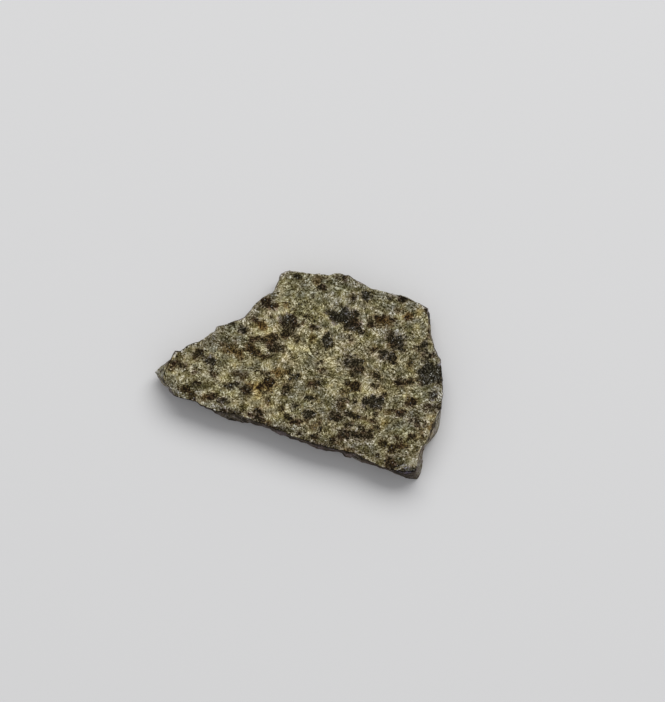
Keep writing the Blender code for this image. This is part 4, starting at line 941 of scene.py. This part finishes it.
# Painted glints: a few tiny specks are mixed towards near white in the colour, everywhere and more often on the
# blue-black grains. They stand in for light glinting off the polished crystals.
distance, own = r.specks((0.11, 0.07, 0.07), turn=(0, 0, 0.6), moved=17.9)
base = tinted(base, cool_black, (0.89, 1.00, 1.42))
painted_glint_pick = r.ramp(r.math("ADD", own.outputs[0], r.math("MULTIPLY", cool_black, 0.10)), 0.93, 1.14, smooth=False)
painted_glint = r.math("MULTIPLY", r.ramp(distance, 0.52, 0.20), painted_glint_pick)
base = r.mix(r.math("MULTIPLY", painted_glint, 0.80), base, colour(220, 219, 210))
# The broken side is tinted purple, and its paler places, partly painted light, are tinted grey-blue instead.
base = tinted(base, r.math("MULTIPLY", broken, r.math("SUBTRACT", 1.0, pale_and_lit_wall)), (0.98, 0.88, 1.36))
base = tinted(base, r.math("MULTIPLY", broken, pale_and_lit_wall), (0.96, 0.97, 1.10))
r.tree.links.new(base, r.surface.inputs["Base Color"])
r.surface.inputs["Specular IOR Level"].default_value = 0.08
print("shergottite has", len(r.tree.nodes), "nodes")

# %% Roughness and the smallest relief
roughness = r.ramp(tone, 0.0, 0.6, 0.32, 0.60, smooth=False)
roughness = r.math("ADD", roughness, r.math("MULTIPLY", broken, 0.18), clamp=True)
r.tree.links.new(roughness, r.surface.inputs["Roughness"])
height_map = r.total(
    r.math("MULTIPLY", tone, 0.012),
    r.math("MULTIPLY", r.noise(0.07, detail=2, moved=61.0), 0.006),
    r.math("MULTIPLY", r.math("MULTIPLY", r.noise(0.16, detail=3, moved=67.0), 0.030), broken),
)
bump = r.add("ShaderNodeBump", {"Height": height_map, "Strength": 1.0, "Distance": MM})
r.tree.links.new(bump.outputs[0], r.surface.inputs["Normal"])
mesh.materials.append(stone_finish.material)

# %% [markdown]
# ## The stage
#
# One large soft lamp stands beyond the stone, a little to the right and about 45 degrees up, and a dim even
# sky fills the shadows. The soft, short shadow on the near side comes from that lamp's size.

# %% Floor, lamp, sky and camera
bpy.ops.mesh.primitive_plane_add(size=3.0)
floor = bpy.context.object
floor.name = "floor"
floor_finish = bpy.data.materials.new("pale_floor")
floor_finish.use_nodes = True
floor_surface = floor_finish.node_tree.nodes["Principled BSDF"]
floor_surface.inputs["Base Color"].default_value = (0.62, 0.62, 0.62, 1)
floor_surface.inputs["Roughness"].default_value = 0.9
floor_surface.inputs["Specular IOR Level"].default_value = 0.1
floor.data.materials.append(floor_finish)

LAMP_HEADING, LAMP_HEIGHT = math.radians(13), math.radians(46)
LAMP_DISTANCE, LAMP_SIZE, LAMP_POWER = 0.60, (0.80, 0.38), 3.7
lamp_data = bpy.data.lights.new("soft_lamp", "AREA")
lamp_data.shape = "ELLIPSE"
lamp_data.size, lamp_data.size_y = LAMP_SIZE
lamp_data.energy = LAMP_POWER
lamp = bpy.data.objects.new("soft_lamp", lamp_data)
toward = np.array([
    math.sin(LAMP_HEADING) * math.cos(LAMP_HEIGHT),
    math.cos(LAMP_HEADING) * math.cos(LAMP_HEIGHT),
    math.sin(LAMP_HEIGHT),
])
lamp.location = toward * LAMP_DISTANCE
lamp.rotation_euler = (math.radians(90) - LAMP_HEIGHT, 0, math.pi - LAMP_HEADING)
bpy.context.scene.collection.objects.link(lamp)

sky = bpy.data.worlds.new("sky")
sky.use_nodes = True
sky.node_tree.nodes["Background"].inputs["Color"].default_value = (0.98, 0.98, 1.0, 1)
sky.node_tree.nodes["Background"].inputs["Strength"].default_value = 0.50
bpy.context.scene.world = sky

LENS = 300
camera_data = bpy.data.cameras.new("camera")
camera_data.lens = LENS
camera_data.sensor_width = 36
camera_data.clip_start = 0.01
camera_data.clip_end = 10
camera = bpy.data.objects.new("camera", camera_data)
target = np.array([
    (VIEW_WIDTH / 2 - OUTLINE_MIDDLE[0]) * STEP,
    (OUTLINE_MIDDLE[1] - VIEW_HEIGHT / 2) * STEP / math.sin(VIEW_ELEVATION),
    0,
]) - TO_MIDDLE
distance = VIEW_HEIGHT * STEP * LENS / camera_data.sensor_width + THICKNESS / 2
camera.location = target + np.array([0, -math.cos(VIEW_ELEVATION), math.sin(VIEW_ELEVATION)]) * distance
camera.rotation_euler = (math.radians(90) - VIEW_ELEVATION, 0, 0)
bpy.context.scene.collection.objects.link(camera)
bpy.context.scene.camera = camera
bpy.context.scene.view_settings.view_transform = "Standard"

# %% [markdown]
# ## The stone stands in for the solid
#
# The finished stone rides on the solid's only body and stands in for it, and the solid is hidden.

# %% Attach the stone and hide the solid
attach(stone, "root")
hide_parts(STONE)
